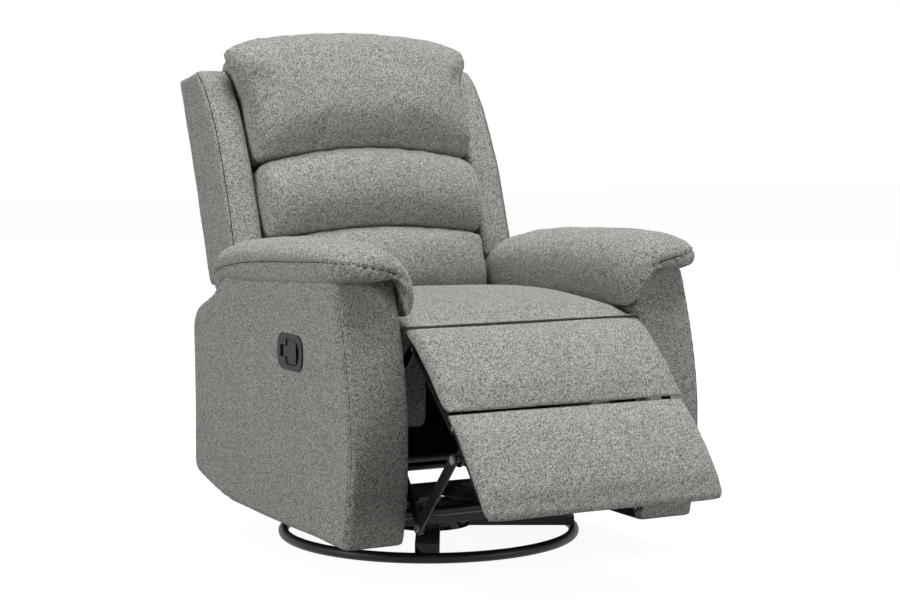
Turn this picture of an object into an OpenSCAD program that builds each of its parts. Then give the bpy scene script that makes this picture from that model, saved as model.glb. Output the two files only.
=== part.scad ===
// Swivel glider recliner with a ring base: upholstered arms, winged back, three back lobes and a folding leg rest.
// Millimetres. Z is up, the chair faces -Y, and the swivel axis meets the floor at the origin.

/* [Ring base] */
// Radius of the floor ring, to the middle of its tube
ring_r = 312; // [280:1:340]
// Diameter of the ring tube
ring_tube_d = 22; // [18:1:28]
// Width of each star arm
star_arm_w = 50; // [36:1:64]
// Height of each star arm
star_arm_h = 19; // [14:1:24]
// Radius of the hub plate
hub_r = 90; // [80:1:110]
// Angle of the star about the swivel axis, in degrees
star_turn = 27.5; // [0:0.5:45]

/* [Swivel bearing] */
// Thickness of each bearing plate
race_t = 4; // [3:0.5:6]
// Radius of the bearing plates
race_r = 85; // [78:1:88]
// Radius of the circle that the balls run on
ball_circle_r = 65; // [55:1:70]
// Diameter of a bearing ball
ball_d = 7; // [6:0.5:9]
// Number of bearing balls
ball_count = 20; // [12:1:28]
// Depth of the groove that the balls run in
groove_depth = 1; // [0.6:0.1:1.4]
// Diameter of the centre bolt
king_bolt_d = 16; // [12:1:20]
// Width of the centre bolt's head and nut
king_head_d = 27; // [24:1:32]
// Height of the bolt head
king_head_h = 8; // [6:0.5:10]

/* [Glider] */
// Half of the distance between the front and rear link pivots
glide_half_y = 140; // [120:1:160]
// Length of a glider link between its pivots
glide_link_l = 100; // [90:1:110]
// Width of a glider link
glide_link_w = 26; // [20:1:32]
// Height of the lower link pivots above the floor
glide_low_z = 100; // [98:1:106]
// Distance from the middle of the chair to the hanger posts
hanger_x = 214; // [208:1:215]
// Size of the frame's box tubes, height first
frame_tube_h = 25; // [20:1:26]
// Width of the frame's box tubes
frame_tube_w = 40; // [30:1:46]
// Thickness of the steel plates and links
plate_t = 4; // [3:0.5:4]
// Sideways gap between steel plates that turn on each other
plate_gap = 2; // [2:0.5:3]
// Diameter of the pivot pins
pin_d = 10; // [8:0.5:12]
// Clearance of a pin in its bore, on the radius
pin_clear = 0.05; // [0.03:0.01:0.1]

/* [Arms] */
// Distance from the middle of the chair to the inner face of an arm
arm_inner_x = 264; // [262:1:280]
// Width of an arm, inner face to outer face
arm_w = 131; // [120:1:150]
// Height of the bottom edge above the floor
arm_bottom_z = 74; // [70:1:84]
// Height of the board that the arm pad lies on
arm_top_z = 555; // [545:1:565]
// Forward reach of the arm at its foot
arm_foot_y = 423; // [418:1:430]
// Forward reach of the arm at its top
arm_head_y = 390; // [385:1:395]
// How far the front of the arm bows out between foot and top
arm_bow = 42; // [30:1:48]
// Rearward reach of the arm
arm_rear_y = 370; // [364:1:380]
// Height at which the rear edge turns forward
arm_shoulder_z = 448; // [440:1:456]
// Thickness of the outer and inner side panels
arm_panel_t = 20; // [18:1:24]
// Thickness of the front panel
arm_front_t = 20; // [16:1:24]
// Thickness of the wooden frame members
timber_t = 30; // [24:1:34]

/* [Arm pads] */
// Height of the pad over its board
pad_h = 104; // [90:1:115]
// How far the pad reaches out past the arm's outer face
pad_over = 22; // [15:1:26]
// How far the pad reaches in past the arm's inner face
pad_in = 12; // [8:1:13]
// Forward reach of the pad
pad_front_y = 450; // [445:1:458]
// Rearward reach of the pad
pad_rear_y = 226; // [205:1:230]
// Roundness of the pad's long edges
pad_edge_r = 44; // [30:1:50]

/* [Seat] */
// Gap between the seat cushion and each arm
seat_arm_gap = 4; // [3:0.5:9]
// Height of the cushion's underside
seat_under_z = 420; // [418:1:426]
// Height of the cushion's edge at the rear
seat_rear_z = 500; // [490:1:510]
// Extra height of the seat's top between front and rear
seat_swell = 20; // [10:1:24]
// Extra height of the seat's middle over its sides
seat_crown = 17; // [8:1:22]
// Rearward reach of the seat cushion
seat_rear_y = 134; // [120:1:138]
// Width of a padded side rail under the seat
seat_rail_w = 52; // [40:1:60]
// Height of the side rails' underside
seat_rail_z = 290; // [288:1:300]
// Forward reach of the side rails
seat_rail_front_y = 360; // [350:1:362]
// Number of zigzag springs
spring_count = 5; // [3:1:6]
// Thickness of the spring wire
spring_wire = 3.5; // [3:0.25:4.5]

/* [Leg rest] */
// Forward reach of the upper leg rest hinge
hinge_y = 425; // [423:1:428]
// Height of the upper leg rest hinge
hinge_z = 455; // [453:1:458]
// Radius of the rounded upper end of the leg rest, about its hinge
nose_r = 40; // [38:0.5:41]
// Length from the upper hinge to the fold hinge
chaise_l = 204; // [196:1:212]
// Slope of the upper leg rest pad, in degrees below level
chaise_slope = 40.6; // [38:0.2:43]
// Length of the lower leg rest pad below the fold hinge
foot_l = 218; // [205:1:226]
// Slope of the lower leg rest pad, in degrees below level
foot_slope = 48.3; // [46:0.1:50]
// Radius of the rounded fold, about the fold hinge
fold_r = 30; // [27:0.5:31]
// Gap between the leg rest and each arm
leg_arm_gap = 2.5; // [2:0.5:8]
// Extra thickness of the pads in their middle
leg_swell = 11; // [5:1:14]
// Thickness of the boards in the leg rest
leg_board_t = 8; // [6:1:8]

/* [Leg rest links] */
// Rearward place of the drive link's pivot, measured forward from the swivel axis
drive_y = 290; // [286:1:294]
// Height of the drive link's pivot
drive_z = 310; // [306:1:314]
// Length of the drive link between its pivots
drive_l = 252.9; // [248:0.1:258]
// Slope of the drive link, in degrees below level
drive_slope = 51.9; // [50:0.1:54]
// Place along the lower pad of the link's upper pivot
ear_along = 51.8; // [46:0.2:58]
// Place behind the fold hinge of the link's upper pivot
ear_behind = 27.5; // [24:0.5:31]
// Width of the drive and ottoman links
link_w = 25; // [20:1:28]
// Diameter of the tube that joins the two drive links
drive_tube_d = 16; // [12:1:20]

/* [Back] */
// Rearward place of the back's hinge
back_hinge_y = 200; // [196:1:206]
// Height of the back's hinge
back_hinge_z = 400; // [398:1:404]
// Lean of the back, in degrees from upright
back_lean = 20.9; // [19:0.1:23]
// Height of the wings' top along the back
wing_top = 656; // [640:1:670]
// Height of the wings' lower edge along the back
wing_foot = 178; // [176:1:190]
// Distance from the middle of the chair to a wing's outer face
wing_outer_x = 345; // [335:1:355]
// Distance from the middle of the chair to a wing's inner face
wing_inner_x = 271; // [270.5:0.5:276]
// Distance from the hinge line back to the rear face
back_behind = 139; // [134:1:142]
// Height of the crease between the lower two lobes at their sides
crease_low = 229; // [222:1:236]
// Height of the crease between the upper two lobes at their sides
crease_high = 404; // [396:1:412]
// Height of the headrest's top at its sides
head_top = 686; // [676:1:694]
// Forward place of the creases at their sides
crease_out = 36; // [33:1:40]
// How far each lobe bulges past its creases
lobe_bulge = 40; // [25:1:44]
// Extra thickness of the lobes in their middle
lobe_crown = 35; // [20:1:38]

/* [Release handle] */
// Length of the handle's surround
bezel_l = 121; // [112:1:130]
// Height of the handle's surround
bezel_h = 73; // [66:1:80]
// Distance of the surround's middle in front of the swivel axis
bezel_y = 173; // [160:1:190]
// Height of the surround's middle above the floor
bezel_z = 431.5; // [425:0.5:440]
// Depth of the handle's recess
bezel_deep = 34; // [30:1:40]
// Length of the crossbar of the handle, along the chair
paddle_bar_l = 42; // [36:1:46]
// Height of the crossbar
paddle_bar_h = 49; // [44:1:52]
// Height of the handle's stem
paddle_stem_h = 21.5; // [18:0.5:26]
// Width of the finger gap in front of the handle
finger_gap = 19.5; // [14:0.5:21]

/* [Hidden] */
$fn = 64;

// Colours
steel_black = [0.06, 0.06, 0.065];
steel_bright = [0.62, 0.63, 0.65];
plastic_dark = [0.12, 0.12, 0.125];
cloth = [0.45, 0.46, 0.44];
timber = [0.76, 0.62, 0.42];

// Running clearances and overruns
cut = 1;
rest_gap = 0.3;
fold_gap = 0.4;
turn_gap = 0.05;
head_t = 3;
head_over = 3;
floor_flat = 0.5;

// Heights of the base and its bearing
ring_z = ring_tube_d / 2 - floor_flat;
star_low_z = ring_tube_d - 2 * floor_flat;
star_top_z = star_low_z + star_arm_h;
race_gap = ball_d - 2 * groove_depth;
race_top_z = star_top_z + race_t;
upper_race_z = race_top_z + race_gap;
ball_z = race_top_z + race_gap / 2;
upper_race_top_z = upper_race_z + race_t;
cage_t = 2;

// Side positions of the steel plates, from the chair's middle outward
link_x = hanger_x + plate_t + plate_gap;
web_x = link_x + plate_t + plate_gap;
base_plate_x = arm_inner_x - plate_t;
seat_plate_x = base_plate_x - 2 * plate_t - 2 * plate_gap;
drive_x = seat_plate_x - plate_t - plate_gap;
ear_x = drive_x - plate_t - plate_gap;
back_plate_x = base_plate_x - plate_t - plate_gap;

// Pivots in side view, as places along Y and Z
glide_top_z = glide_low_z + glide_link_l;
glide_front_top = [-glide_half_y, glide_top_z];
glide_rear_top = [glide_half_y, glide_top_z];
glide_front_low = [-glide_half_y, glide_low_z];
glide_rear_low = [glide_half_y, glide_low_z];
hinge = [-hinge_y, hinge_z];
fold = hinge + chaise_l * [-cos(chaise_slope), -sin(chaise_slope)];
drive_pivot = [-drive_y, drive_z];
knee = drive_pivot + drive_l * [-cos(drive_slope), -sin(drive_slope)];
ear = fold + ear_along * [-cos(foot_slope), -sin(foot_slope)] + ear_behind * [sin(foot_slope), -cos(foot_slope)];
back_hinge = [back_hinge_y, back_hinge_z];

// Carriage
web_under_pivot = 14;
web_h = 44;
web_low_z = glide_low_z - web_under_pivot;
flange_top_z = web_low_z + web_h + plate_t;
rail_front_over = 110;
rail_rear_over = 150;
rail_front_y = glide_half_y + rail_front_over;
rail_rear_y = glide_half_y + rail_rear_over;
tube_d = 20;
tube_front_inset = 15;
tube_front_y = rail_front_y - tube_front_inset;
tube_rear_y = rail_rear_y - tube_d;
tube_low_z = glide_low_z - plate_t;

// Seat travel and its rollers
seat_travel = 60;
roller_r = 8;
roller_z = drive_z + pin_d;
roller_front_y = -180;
roller_rear_y = 100;
seat_strip_h = 40;
base_plate_front_y = 270;
base_plate_rear_y = 250;
plate_over_roller = 25;
base_plate_top_z = roller_z + plate_over_roller;
boss_wall = 6;
wide_boss_wall = 9;
boss_r = pin_d / 2 + boss_wall;
wide_boss_r = pin_d / 2 + wide_boss_wall;
elbow_forward = 60;
elbow_rise = 75;
elbow = drive_pivot + [-elbow_forward, elbow_rise];

// Leg rest
board_back = leg_board_t / 2;
pad_back = board_back + leg_board_t;
drive_tube_share = 0.4;

// Arm timbers
post_back_off = 5;
post_front_y = arm_head_y - arm_front_t - post_back_off;
arm_mid_y = 190;
arm_slope_y = 253;
arm_slope_z = 513;
arm_rise_y = 80;
arm_rise = 38;
arm_rise_run = 277;
timber_low_z = arm_bottom_z + timber_t;
arm_outer_x = arm_inner_x + arm_w;
seat_half_w = arm_inner_x - seat_arm_gap;
leg_half_w = arm_inner_x - leg_arm_gap;

// Back
lobe_rear = 40;
back_skin_t = 19;
frame_rear = back_behind - back_skin_t;
back_foot = -20;
post_w = 50;
post_x = back_plate_x - post_w;
frame_top = 600;
lobe_gap = 1.5;
lobe_half_w = wing_inner_x - lobe_gap;
lobe_low_half_w = 247;
head_over_wing = 27;
head_half_w = wing_inner_x + head_over_wing;
head_rear = 100;

// Release handle
lever_x = arm_outer_x;
lever_pin_d = 5;
lever_t = 6;
lever_boss_r = 8;
lever_rise = 1;
lever_hinge_inset = 26;
recess_inset = 13.5;
lever_hinge_y = -bezel_y + bezel_l / 2 - lever_hinge_inset;
recess_front_y = -bezel_y - bezel_l / 2 + recess_inset;
bar_front_y = recess_front_y + finger_gap;
wall_t = 2.5;
bezel_lip = 3;
recess_margin = 1.5;
bar_rear_gap = 3.5;

// Small helpers
function unit(v) = v / norm(v);
function dome(t) = pow(max(0, sin(180 * t)), dome_power_share);
dome_power_share = 0.62;
function arc(c, r, a0, a1, n) = [for (i = [0 : n]) c + r * [cos(a0 + (a1 - a0) * i / n), sin(a0 + (a1 - a0) * i / n)]];

module both_sides() {
    children();
    mirror([1, 0, 0]) children();
}

// Outline in side view, given along Y and Z, made thick along X
module slab(x, t) {
    translate([x, 0, 0]) rotate([90, 0, 90]) linear_extrude(t) children();
}

module x_rod(p, x, l, r) {
    translate([x, p[0], p[1]]) rotate([0, 90, 0]) cylinder(h = l, r = r);
}

module bar(a, b, w) {
    d = b - a;
    translate(a) rotate(atan2(d[1], d[0])) {
        circle(w / 2);
        translate([norm(d), 0]) circle(w / 2);
        translate([0, -w / 2]) square([norm(d), w]);
    }
}

module block(x0, x1, y0, y1, z0, z1) {
    translate([x0, y0, z0]) cube([x1 - x0, y1 - y0, z1 - z0]);
}

module in_chaise() {
    translate([0, hinge[0], hinge[1]]) rotate([chaise_slope, 0, 0]) children();
}

module in_footrest() {
    translate([0, fold[0], fold[1]]) rotate([foot_slope, 0, 0]) children();
}

module in_back() {
    translate([0, back_hinge[0], back_hinge[1]]) rotate([-back_lean, 0, 0]) children();
}

// Upholstery swept across the chair. Each outline point is [y, z, half width, crown share, arch share],
// counterclockwise in side view. The sides draw in toward the core, a line between two places in side view, and
// the middle swells along grow and rise.
stations = 12;
core_limit_share = 0.8;
module upholstery(outline, core, edge, grow = [0, 0], rise = [0, 0], middle_x = 0) {
    count = len(outline);
    across = [for (i = [0 : stations]) sin(90 * (2 * i / stations - 1))];
    function draw_in(s, hw) =
        let (k = max(0, (abs(s) * hw - (hw - edge)) / edge)) edge * (1 - sqrt(max(0, 1 - k * k)));
    function swell(s) = 1 - s * s;
    span = core[1] - core[0];
    function nearest(flat) = core[0] + span * max(0, min(1, (flat - core[0]) * span / (span * span)));
    function place(s, p) =
        let (
            flat = [p[0], p[1]],
            toward = nearest(flat) - flat,
            reach = norm(toward),
            inward = toward / reach * min(draw_in(s, p[2]), reach * core_limit_share),
            out = flat + inward + swell(s) * (p[3] * grow + p[4] * rise)
        ) [middle_x + s * p[2], out[0], out[1]];
    rings = [for (s = across, p = outline) place(s, p)];
    middle = core[0] + span / 2;
    ends = [for (side = [-1, 1]) [middle_x + side * outline[0][2], middle[0], middle[1]]];
    last = len(rings);
    sides = [for (i = [0 : stations - 1], j = [0 : count - 1])
        let (a = i * count + j, b = i * count + (j + 1) % count, c = b + count, d = a + count)
        each [[a, d, c], [a, c, b]]];
    near_cap = [for (j = [0 : count - 1]) [last, j, (j + 1) % count]];
    far_cap = [for (j = [0 : count - 1])
        [last + 1, stations * count + (j + 1) % count, stations * count + j]];
    polyhedron(points = concat(rings, ends), faces = concat(sides, near_cap, far_cap), convexity = 6);
}

// Ring base
module base_ring() {
    color(steel_black) intersection() {
        translate([0, 0, ring_z]) rotate_extrude($fn = 96) translate([ring_r, 0]) circle(d = ring_tube_d);
        cylinder(r = ring_r + ring_tube_d, h = ring_tube_d);
    }
}

module base_star() {
    color(steel_black) difference() {
        union() {
            for (i = [0 : 3]) rotate(i * 90 - star_turn)
                translate([0, -star_arm_w / 2, star_low_z]) cube([ring_r, star_arm_w, star_arm_h]);
            translate([0, 0, star_low_z]) cylinder(r = hub_r, h = star_arm_h);
        }
        translate([0, 0, star_low_z - cut]) cylinder(d = king_bolt_d, h = star_arm_h + 2 * cut);
        translate([0, 0, ring_z]) rotate_extrude($fn = 96) translate([ring_r, 0]) circle(d = ring_tube_d);
    }
}

// Swivel bearing
module ball_groove() {
    translate([0, 0, ball_z]) rotate_extrude($fn = 96)
        translate([ball_circle_r, 0]) circle(r = ball_d / 2 + turn_gap);
}

module race(z, bore) {
    difference() {
        translate([0, 0, z]) cylinder(r = race_r, h = race_t);
        translate([0, 0, z - cut]) cylinder(r = bore, h = race_t + 2 * cut);
        ball_groove();
    }
}

module bearing_lower_plate() {
    color(steel_bright) race(star_top_z, king_bolt_d / 2);
}

module bearing_upper_plate() {
    color(steel_bright) race(upper_race_z, king_bolt_d / 2 + pin_clear);
}

module ball_cage() {
    color(plastic_dark) difference() {
        translate([0, 0, ball_z - cage_t / 2]) cylinder(r = ball_circle_r + ball_d, h = cage_t);
        translate([0, 0, ball_z - cage_t]) cylinder(r = ball_circle_r - ball_d, h = 2 * cage_t);
        for (i = [0 : ball_count - 1]) rotate(i * 360 / ball_count)
            translate([ball_circle_r, 0, ball_z - cage_t]) cylinder(r = ball_d / 2 + turn_gap, h = 2 * cage_t);
    }
}

module bearing_balls() {
    color(steel_bright) for (i = [0 : ball_count - 1]) rotate(i * 360 / ball_count)
        translate([ball_circle_r, 0, ball_z]) sphere(d = ball_d);
}

module king_bolt() {
    nut_z = upper_race_top_z + turn_gap;
    color(steel_bright) {
        translate([0, 0, star_low_z - king_head_h]) cylinder(d = king_head_d, h = king_head_h);
        translate([0, 0, star_low_z]) cylinder(d = king_bolt_d, h = nut_z + king_head_h + race_t - star_low_z);
        translate([0, 0, nut_z]) cylinder(d = king_head_d, h = king_head_h);
    }
}

// Glider frame on the swivel
frame_rail_x = 115;
module glider_frame() {
    color(steel_black) difference() {
        union() {
            both_sides() block(frame_rail_x - frame_tube_w / 2, frame_rail_x + frame_tube_w / 2,
                -glide_half_y, glide_half_y, upper_race_top_z, upper_race_top_z + frame_tube_h);
            for (side = [-1, 1])
                block(-hanger_x, hanger_x, side * glide_half_y - frame_tube_w / 2,
                    side * glide_half_y + frame_tube_w / 2, upper_race_top_z, upper_race_top_z + frame_tube_h);
            block(-frame_rail_x, frame_rail_x, -frame_tube_w, frame_tube_w,
                upper_race_top_z, upper_race_top_z + race_t);
        }
        translate([0, 0, upper_race_top_z - cut]) cylinder(d = king_head_d + ball_d, h = race_t + 2 * cut);
    }
}

module hanger_post(p) {
    difference() {
        slab(hanger_x, plate_t) union() {
            translate([p[0] - frame_tube_w / 2, upper_race_top_z]) square([frame_tube_w, frame_tube_h]);
            bar([p[0], upper_race_top_z + frame_tube_h / 2], p, glide_link_w);
        }
        x_rod(p, hanger_x - cut, plate_t + 2 * cut, pin_d / 2);
    }
}

module hanger_posts() {
    color(steel_black) both_sides() {
        hanger_post(glide_front_top);
        hanger_post(glide_rear_top);
    }
}

module link_plate(a, b, x, w) {
    difference() {
        slab(x, plate_t) bar(a, b, w);
        x_rod(a, x - cut, plate_t + 2 * cut, pin_d / 2 + pin_clear);
        x_rod(b, x - cut, plate_t + 2 * cut, pin_d / 2 + pin_clear);
    }
}

module glider_links_front() {
    color(steel_black) both_sides() link_plate(glide_front_top, glide_front_low, link_x, glide_link_w);
}

module glider_links_rear() {
    color(steel_black) both_sides() link_plate(glide_rear_top, glide_rear_low, link_x, glide_link_w);
}

// A pin fixed in one plate, that a second plate turns on: it starts flush with the fixed plate
module fixed_pin(p, x0, x1) {
    x_rod(p, x0, x1 - x0, pin_d / 2);
    x_rod(p, x1 + turn_gap, head_t, pin_d / 2 + head_over);
    x_rod(p, x1 - turn_gap, head_t, pin_d / 2);
}

module upper_link_pins() {
    color(steel_bright) both_sides() {
        fixed_pin(glide_front_top, hanger_x, link_x + plate_t);
        fixed_pin(glide_rear_top, hanger_x, link_x + plate_t);
    }
}

// A pin fixed in an outer plate, with its head inside
module inward_pin(p, x0, x1) {
    x_rod(p, x0, x1 - x0, pin_d / 2);
    x_rod(p, x0 - head_t, head_t - turn_gap, pin_d / 2 + head_over);
    x_rod(p, x0 - head_t, head_t, pin_d / 2);
}

low_pin_head_share = 0.5;
module lower_link_pins() {
    color(steel_bright) both_sides() for (p = [glide_front_low, glide_rear_low]) {
        x_rod(p, link_x, web_x + plate_t - link_x, pin_d / 2);
        x_rod(p, link_x - plate_gap, plate_gap - turn_gap, pin_d / 2 + head_over * low_pin_head_share);
        x_rod(p, link_x - plate_gap, plate_gap, pin_d / 2);
    }
}

// Carriage that hangs from the links
module carriage_rails() {
    color(steel_black) both_sides() difference() {
        union() {
            block(web_x, web_x + plate_t, -rail_front_y, rail_rear_y, web_low_z, flange_top_z);
            block(web_x, arm_inner_x, -rail_front_y, rail_rear_y, flange_top_z - plate_t, flange_top_z);
        }
        for (p = [glide_front_low, glide_rear_low]) x_rod(p, web_x - cut, plate_t + 2 * cut, pin_d / 2);
    }
}

module cross_tubes() {
    color(steel_black) for (y = [-tube_front_y, tube_rear_y])
        x_rod([y, tube_low_z], -web_x, 2 * web_x, tube_d / 2);
}

module base_plates() {
    ear_low = [back_hinge[0], base_plate_top_z - wide_boss_r];
    color(steel_black) both_sides() difference() {
        slab(base_plate_x, plate_t) difference() {
            union() {
                translate([-base_plate_front_y, flange_top_z])
                    square([base_plate_front_y + base_plate_rear_y, base_plate_top_z - flange_top_z]);
                bar(ear_low, back_hinge, 2 * wide_boss_r);
            }
            for (y = [roller_front_y, roller_rear_y])
                bar([y - seat_travel - cut, roller_z], [y + cut, roller_z], 2 * roller_r + 2 * pin_clear);
        }
        x_rod(back_hinge, base_plate_x - cut, plate_t + 2 * cut, pin_d / 2);
    }
}

arm_bolt_d = 8;
bolt_shares = [[-0.8, 0.2], [0.8, 0.2], [-0.2, 0.35], [0.8, 0.62]];
module base_plate_fasteners() {
    color(steel_bright) both_sides() {
        for (s = bolt_shares) {
            p = [s[0] * base_plate_rear_y, flange_top_z + s[1] * (base_plate_top_z - flange_top_z)];
            x_rod(p, base_plate_x - head_t, head_t, arm_bolt_d);
        }
        // Pins that the back turns on
        inward_pin(back_hinge, back_plate_x, base_plate_x + plate_t);
    }
}

// Arms. Outlines are in side view, counterclockwise.
bow_steps = 10;
rise_steps = 6;
function bow_y(z) =
    let (t = (z - arm_bottom_z) / (arm_top_z - arm_bottom_z))
    -(arm_foot_y + (arm_head_y - arm_foot_y) * t) - arm_bow * 4 * t * (1 - t);
function bow_line(inset) = [for (i = [0 : bow_steps])
    let (z = arm_top_z + (arm_bottom_z - arm_top_z) * i / bow_steps) [bow_y(z) + inset, z]];
function rise_line() = [for (i = [0 : rise_steps])
    let (s = i / rise_steps) [arm_rise_y + s * arm_rise_run, arm_bottom_z + arm_rise * s * s]];
rear_corner = 13;
arm_rear_line = [
    [arm_rear_y, arm_bottom_z + arm_rise + rear_corner],
    [arm_rear_y, arm_shoulder_z],
    [arm_slope_y, arm_slope_z],
    [arm_mid_y, arm_top_z]
];

module arm_side_outline(inset) {
    polygon(concat(bow_line(inset), rise_line(), arm_rear_line));
}

wrap_t = 18;
module arm_wrap_outline() {
    polygon(concat(arm_rear_line, [
        [arm_mid_y - wrap_t, arm_top_z],
        [arm_slope_y - wrap_t, arm_slope_z - wrap_t / 2],
        [arm_rear_y - wrap_t, arm_shoulder_z - wrap_t / 2],
        [arm_rear_y - wrap_t, arm_bottom_z + arm_rise + rear_corner]
    ]));
}

module arm_inner_panel() {
    color(cloth) slab(arm_inner_x, arm_panel_t) arm_side_outline(arm_front_t);
}

module arm_outer_panel() {
    color(cloth) union() {
        slab(arm_outer_x - arm_panel_t, arm_panel_t) arm_side_outline(arm_front_t);
        slab(arm_inner_x + arm_panel_t, arm_w - 2 * arm_panel_t + cut) arm_wrap_outline();
    }
}

// The panel at -X has a hole that the handle's recess goes through
module arm_handle_panel() {
    color(cloth) mirror([1, 0, 0]) difference() {
        arm_outer_panel();
        slab(arm_outer_x - arm_panel_t - cut, arm_panel_t + 2 * cut) recess_outline(wall_t + turn_gap);
    }
}

module arm_front_panel() {
    color(cloth) slab(arm_inner_x, arm_w) polygon(concat(
        bow_line(0),
        [for (i = [0 : bow_steps]) bow_line(arm_front_t)[bow_steps - i]]
    ));
}

module arm_frame() {
    x0 = arm_inner_x + arm_panel_t;
    x1 = arm_outer_x - arm_panel_t;
    rear_post_y = arm_rear_y - wrap_t - timber_t;
    color(timber) union() {
        block(x0, x1, -post_front_y, -post_front_y + timber_t, timber_low_z, arm_top_z);
        block(x0, x1, -post_front_y, arm_mid_y - wrap_t, arm_top_z - timber_t, arm_top_z);
        block(x0, x1, -post_front_y, rear_post_y + timber_t, timber_low_z, timber_low_z + timber_t);
        block(x0, x1, arm_mid_y - wrap_t - timber_t, arm_mid_y - wrap_t, timber_low_z, arm_top_z);
        block(x0, x1, rear_post_y, rear_post_y + timber_t, timber_low_z, arm_shoulder_z - timber_t);
        block(x0, x1, arm_mid_y - wrap_t, rear_post_y, arm_shoulder_z - 2 * timber_t, arm_shoulder_z - timber_t);
    }
}

pad_nose_shares = [[0.97, 0.1], [1, 0.32], [1, 0.6], [0.965, 0.84], [0.88, 0.96], [0.74, 1]];
pad_top_shares = [[0.5, 0.995], [0.2, 0.965], [-0.1, 0.9], [-0.4, 0.8], [-0.62, 0.68], [-0.8, 0.52], [-0.93, 0.34], [-1, 0.16]];
pad_steps_under = 6;
module arm_pad() {
    half_w = (arm_w + pad_over + pad_in) / 2;
    middle_x = arm_inner_x - pad_in + half_w;
    reach = arm_head_y + cut;
    nose = [for (s = pad_nose_shares) [-s[0] * pad_front_y, arm_top_z + s[1] * pad_h, half_w, s[1], 0]];
    top = [for (s = pad_top_shares)
        [s[0] > 0 ? -s[0] * pad_front_y : -s[0] * pad_rear_y, arm_top_z + s[1] * pad_h, half_w, s[1], 0]];
    under = [for (i = [0 : pad_steps_under])
        [arm_mid_y - (arm_mid_y + reach) * i / pad_steps_under, arm_top_z, half_w, 0, 0]];
    outline = [for (i = [len(under) + len(top) + len(nose) - 1 : -1 : 0]) concat(under, nose, top)[i]];
    core_z = arm_top_z + pad_h / 2;
    core = [[-pad_front_y + pad_h / 2, core_z], [pad_rear_y / 2, core_z - pad_h / 8]];
    color(cloth) upholstery(outline, core, pad_edge_r, middle_x = middle_x);
}

rear_panel_t = 20;
rear_panel_inset = 5;
rear_panel_top_z = 314;
rear_panel_low_z = 68;
module rear_panel() {
    y1 = arm_rear_y - rear_panel_inset;
    color(cloth) block(-arm_inner_x, arm_inner_x, y1 - rear_panel_t, y1, rear_panel_low_z, rear_panel_top_z);
}

// Release handle, on the arm at -X
// An upright rectangle in side view with round corners, given its ends, its middle height and its height
module rounded(y0, y1, z, h, front_r, rear_r) {
    union() {
        for (side = [-1, 1]) {
            translate([y0 + front_r, z + side * (h / 2 - front_r)]) circle(front_r);
            translate([y1 - rear_r, z + side * (h / 2 - rear_r)]) circle(rear_r);
        }
        translate([y0 + front_r, z - h / 2]) square([y1 - rear_r - y0 - front_r, h]);
        translate([y0, z - h / 2 + front_r]) square([front_r, h - 2 * front_r]);
        translate([y1 - rear_r, z - h / 2 + rear_r]) square([rear_r, h - 2 * rear_r]);
    }
}

bezel_corner_r = 27;
bar_corner_r = 6;
module bezel_outline() {
    rounded(-bezel_y - bezel_l / 2, -bezel_y + bezel_l / 2, bezel_z, bezel_h, bezel_corner_r, bezel_corner_r);
}

// The recess is a T: a tall front part for the crossbar and the fingers, and a low rear part for the stem.
// Its front is nearly a half circle.
recess_round_share = 0.96;
module recess_outline(grow) {
    tall_h = paddle_bar_h + 2 * recess_margin;
    low_h = paddle_stem_h + 2 * recess_margin;
    tall_rear_y = bar_front_y + paddle_bar_l + bar_rear_gap;
    rear_y = lever_hinge_y + lever_boss_r + 2 * recess_margin;
    rounded(recess_front_y - grow, tall_rear_y + grow, bezel_z, tall_h + 2 * grow,
        tall_h / 2 * recess_round_share + grow, bar_corner_r + grow);
    translate([tall_rear_y - 2 * bar_corner_r, bezel_z - low_h / 2 - grow])
        square([rear_y - tall_rear_y + 2 * bar_corner_r + grow, low_h + 2 * grow]);
}

module handle_bezel() {
    color(plastic_dark) mirror([1, 0, 0]) difference() {
        union() {
            slab(lever_x, bezel_lip) bezel_outline();
            slab(lever_x - bezel_deep, bezel_deep + bezel_lip) recess_outline(wall_t);
        }
        slab(lever_x - bezel_deep + wall_t, bezel_deep + bezel_lip + cut) recess_outline(0);
        translate([lever_x - lever_boss_r, lever_hinge_y, bezel_z - bezel_h / 2])
            cylinder(d = lever_pin_d, h = bezel_h);
    }
}

module release_lever() {
    z0 = bezel_z - paddle_stem_h / 2;
    color(plastic_dark) mirror([1, 0, 0]) difference() {
        union() {
            slab(lever_x + lever_rise - lever_t, lever_t) {
                rounded(bar_front_y, bar_front_y + paddle_bar_l, bezel_z, paddle_bar_h, bar_corner_r, bar_corner_r);
                translate([bar_front_y + bar_corner_r, z0])
                    square([lever_hinge_y - bar_front_y - bar_corner_r, paddle_stem_h]);
            }
            translate([lever_x - lever_boss_r, lever_hinge_y, z0]) cylinder(r = lever_boss_r, h = paddle_stem_h);
        }
        translate([lever_x - lever_boss_r, lever_hinge_y, z0 - cut])
            cylinder(r = lever_pin_d / 2 + pin_clear, h = paddle_stem_h + 2 * cut);
    }
}

module lever_pin() {
    half_h = paddle_stem_h / 2 + recess_margin + wall_t;
    color(steel_bright) mirror([1, 0, 0]) translate([lever_x - lever_boss_r, lever_hinge_y, bezel_z - half_h])
        cylinder(d = lever_pin_d, h = 2 * half_h);
}

// Return spring on the back of the recess, kept as one short sleeve of turns
module lever_spring() {
    spring_h = 3 * lever_pin_d;
    color(steel_bright) mirror([1, 0, 0]) difference() {
        translate([lever_x - bezel_deep - lever_pin_d, lever_hinge_y, bezel_z - spring_h / 2])
            cylinder(d = 2 * lever_pin_d, h = spring_h);
        translate([lever_x - bezel_deep - lever_pin_d, lever_hinge_y, bezel_z - spring_h / 2 - cut])
            cylinder(d = lever_pin_d, h = spring_h + 2 * cut);
    }
}

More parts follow.
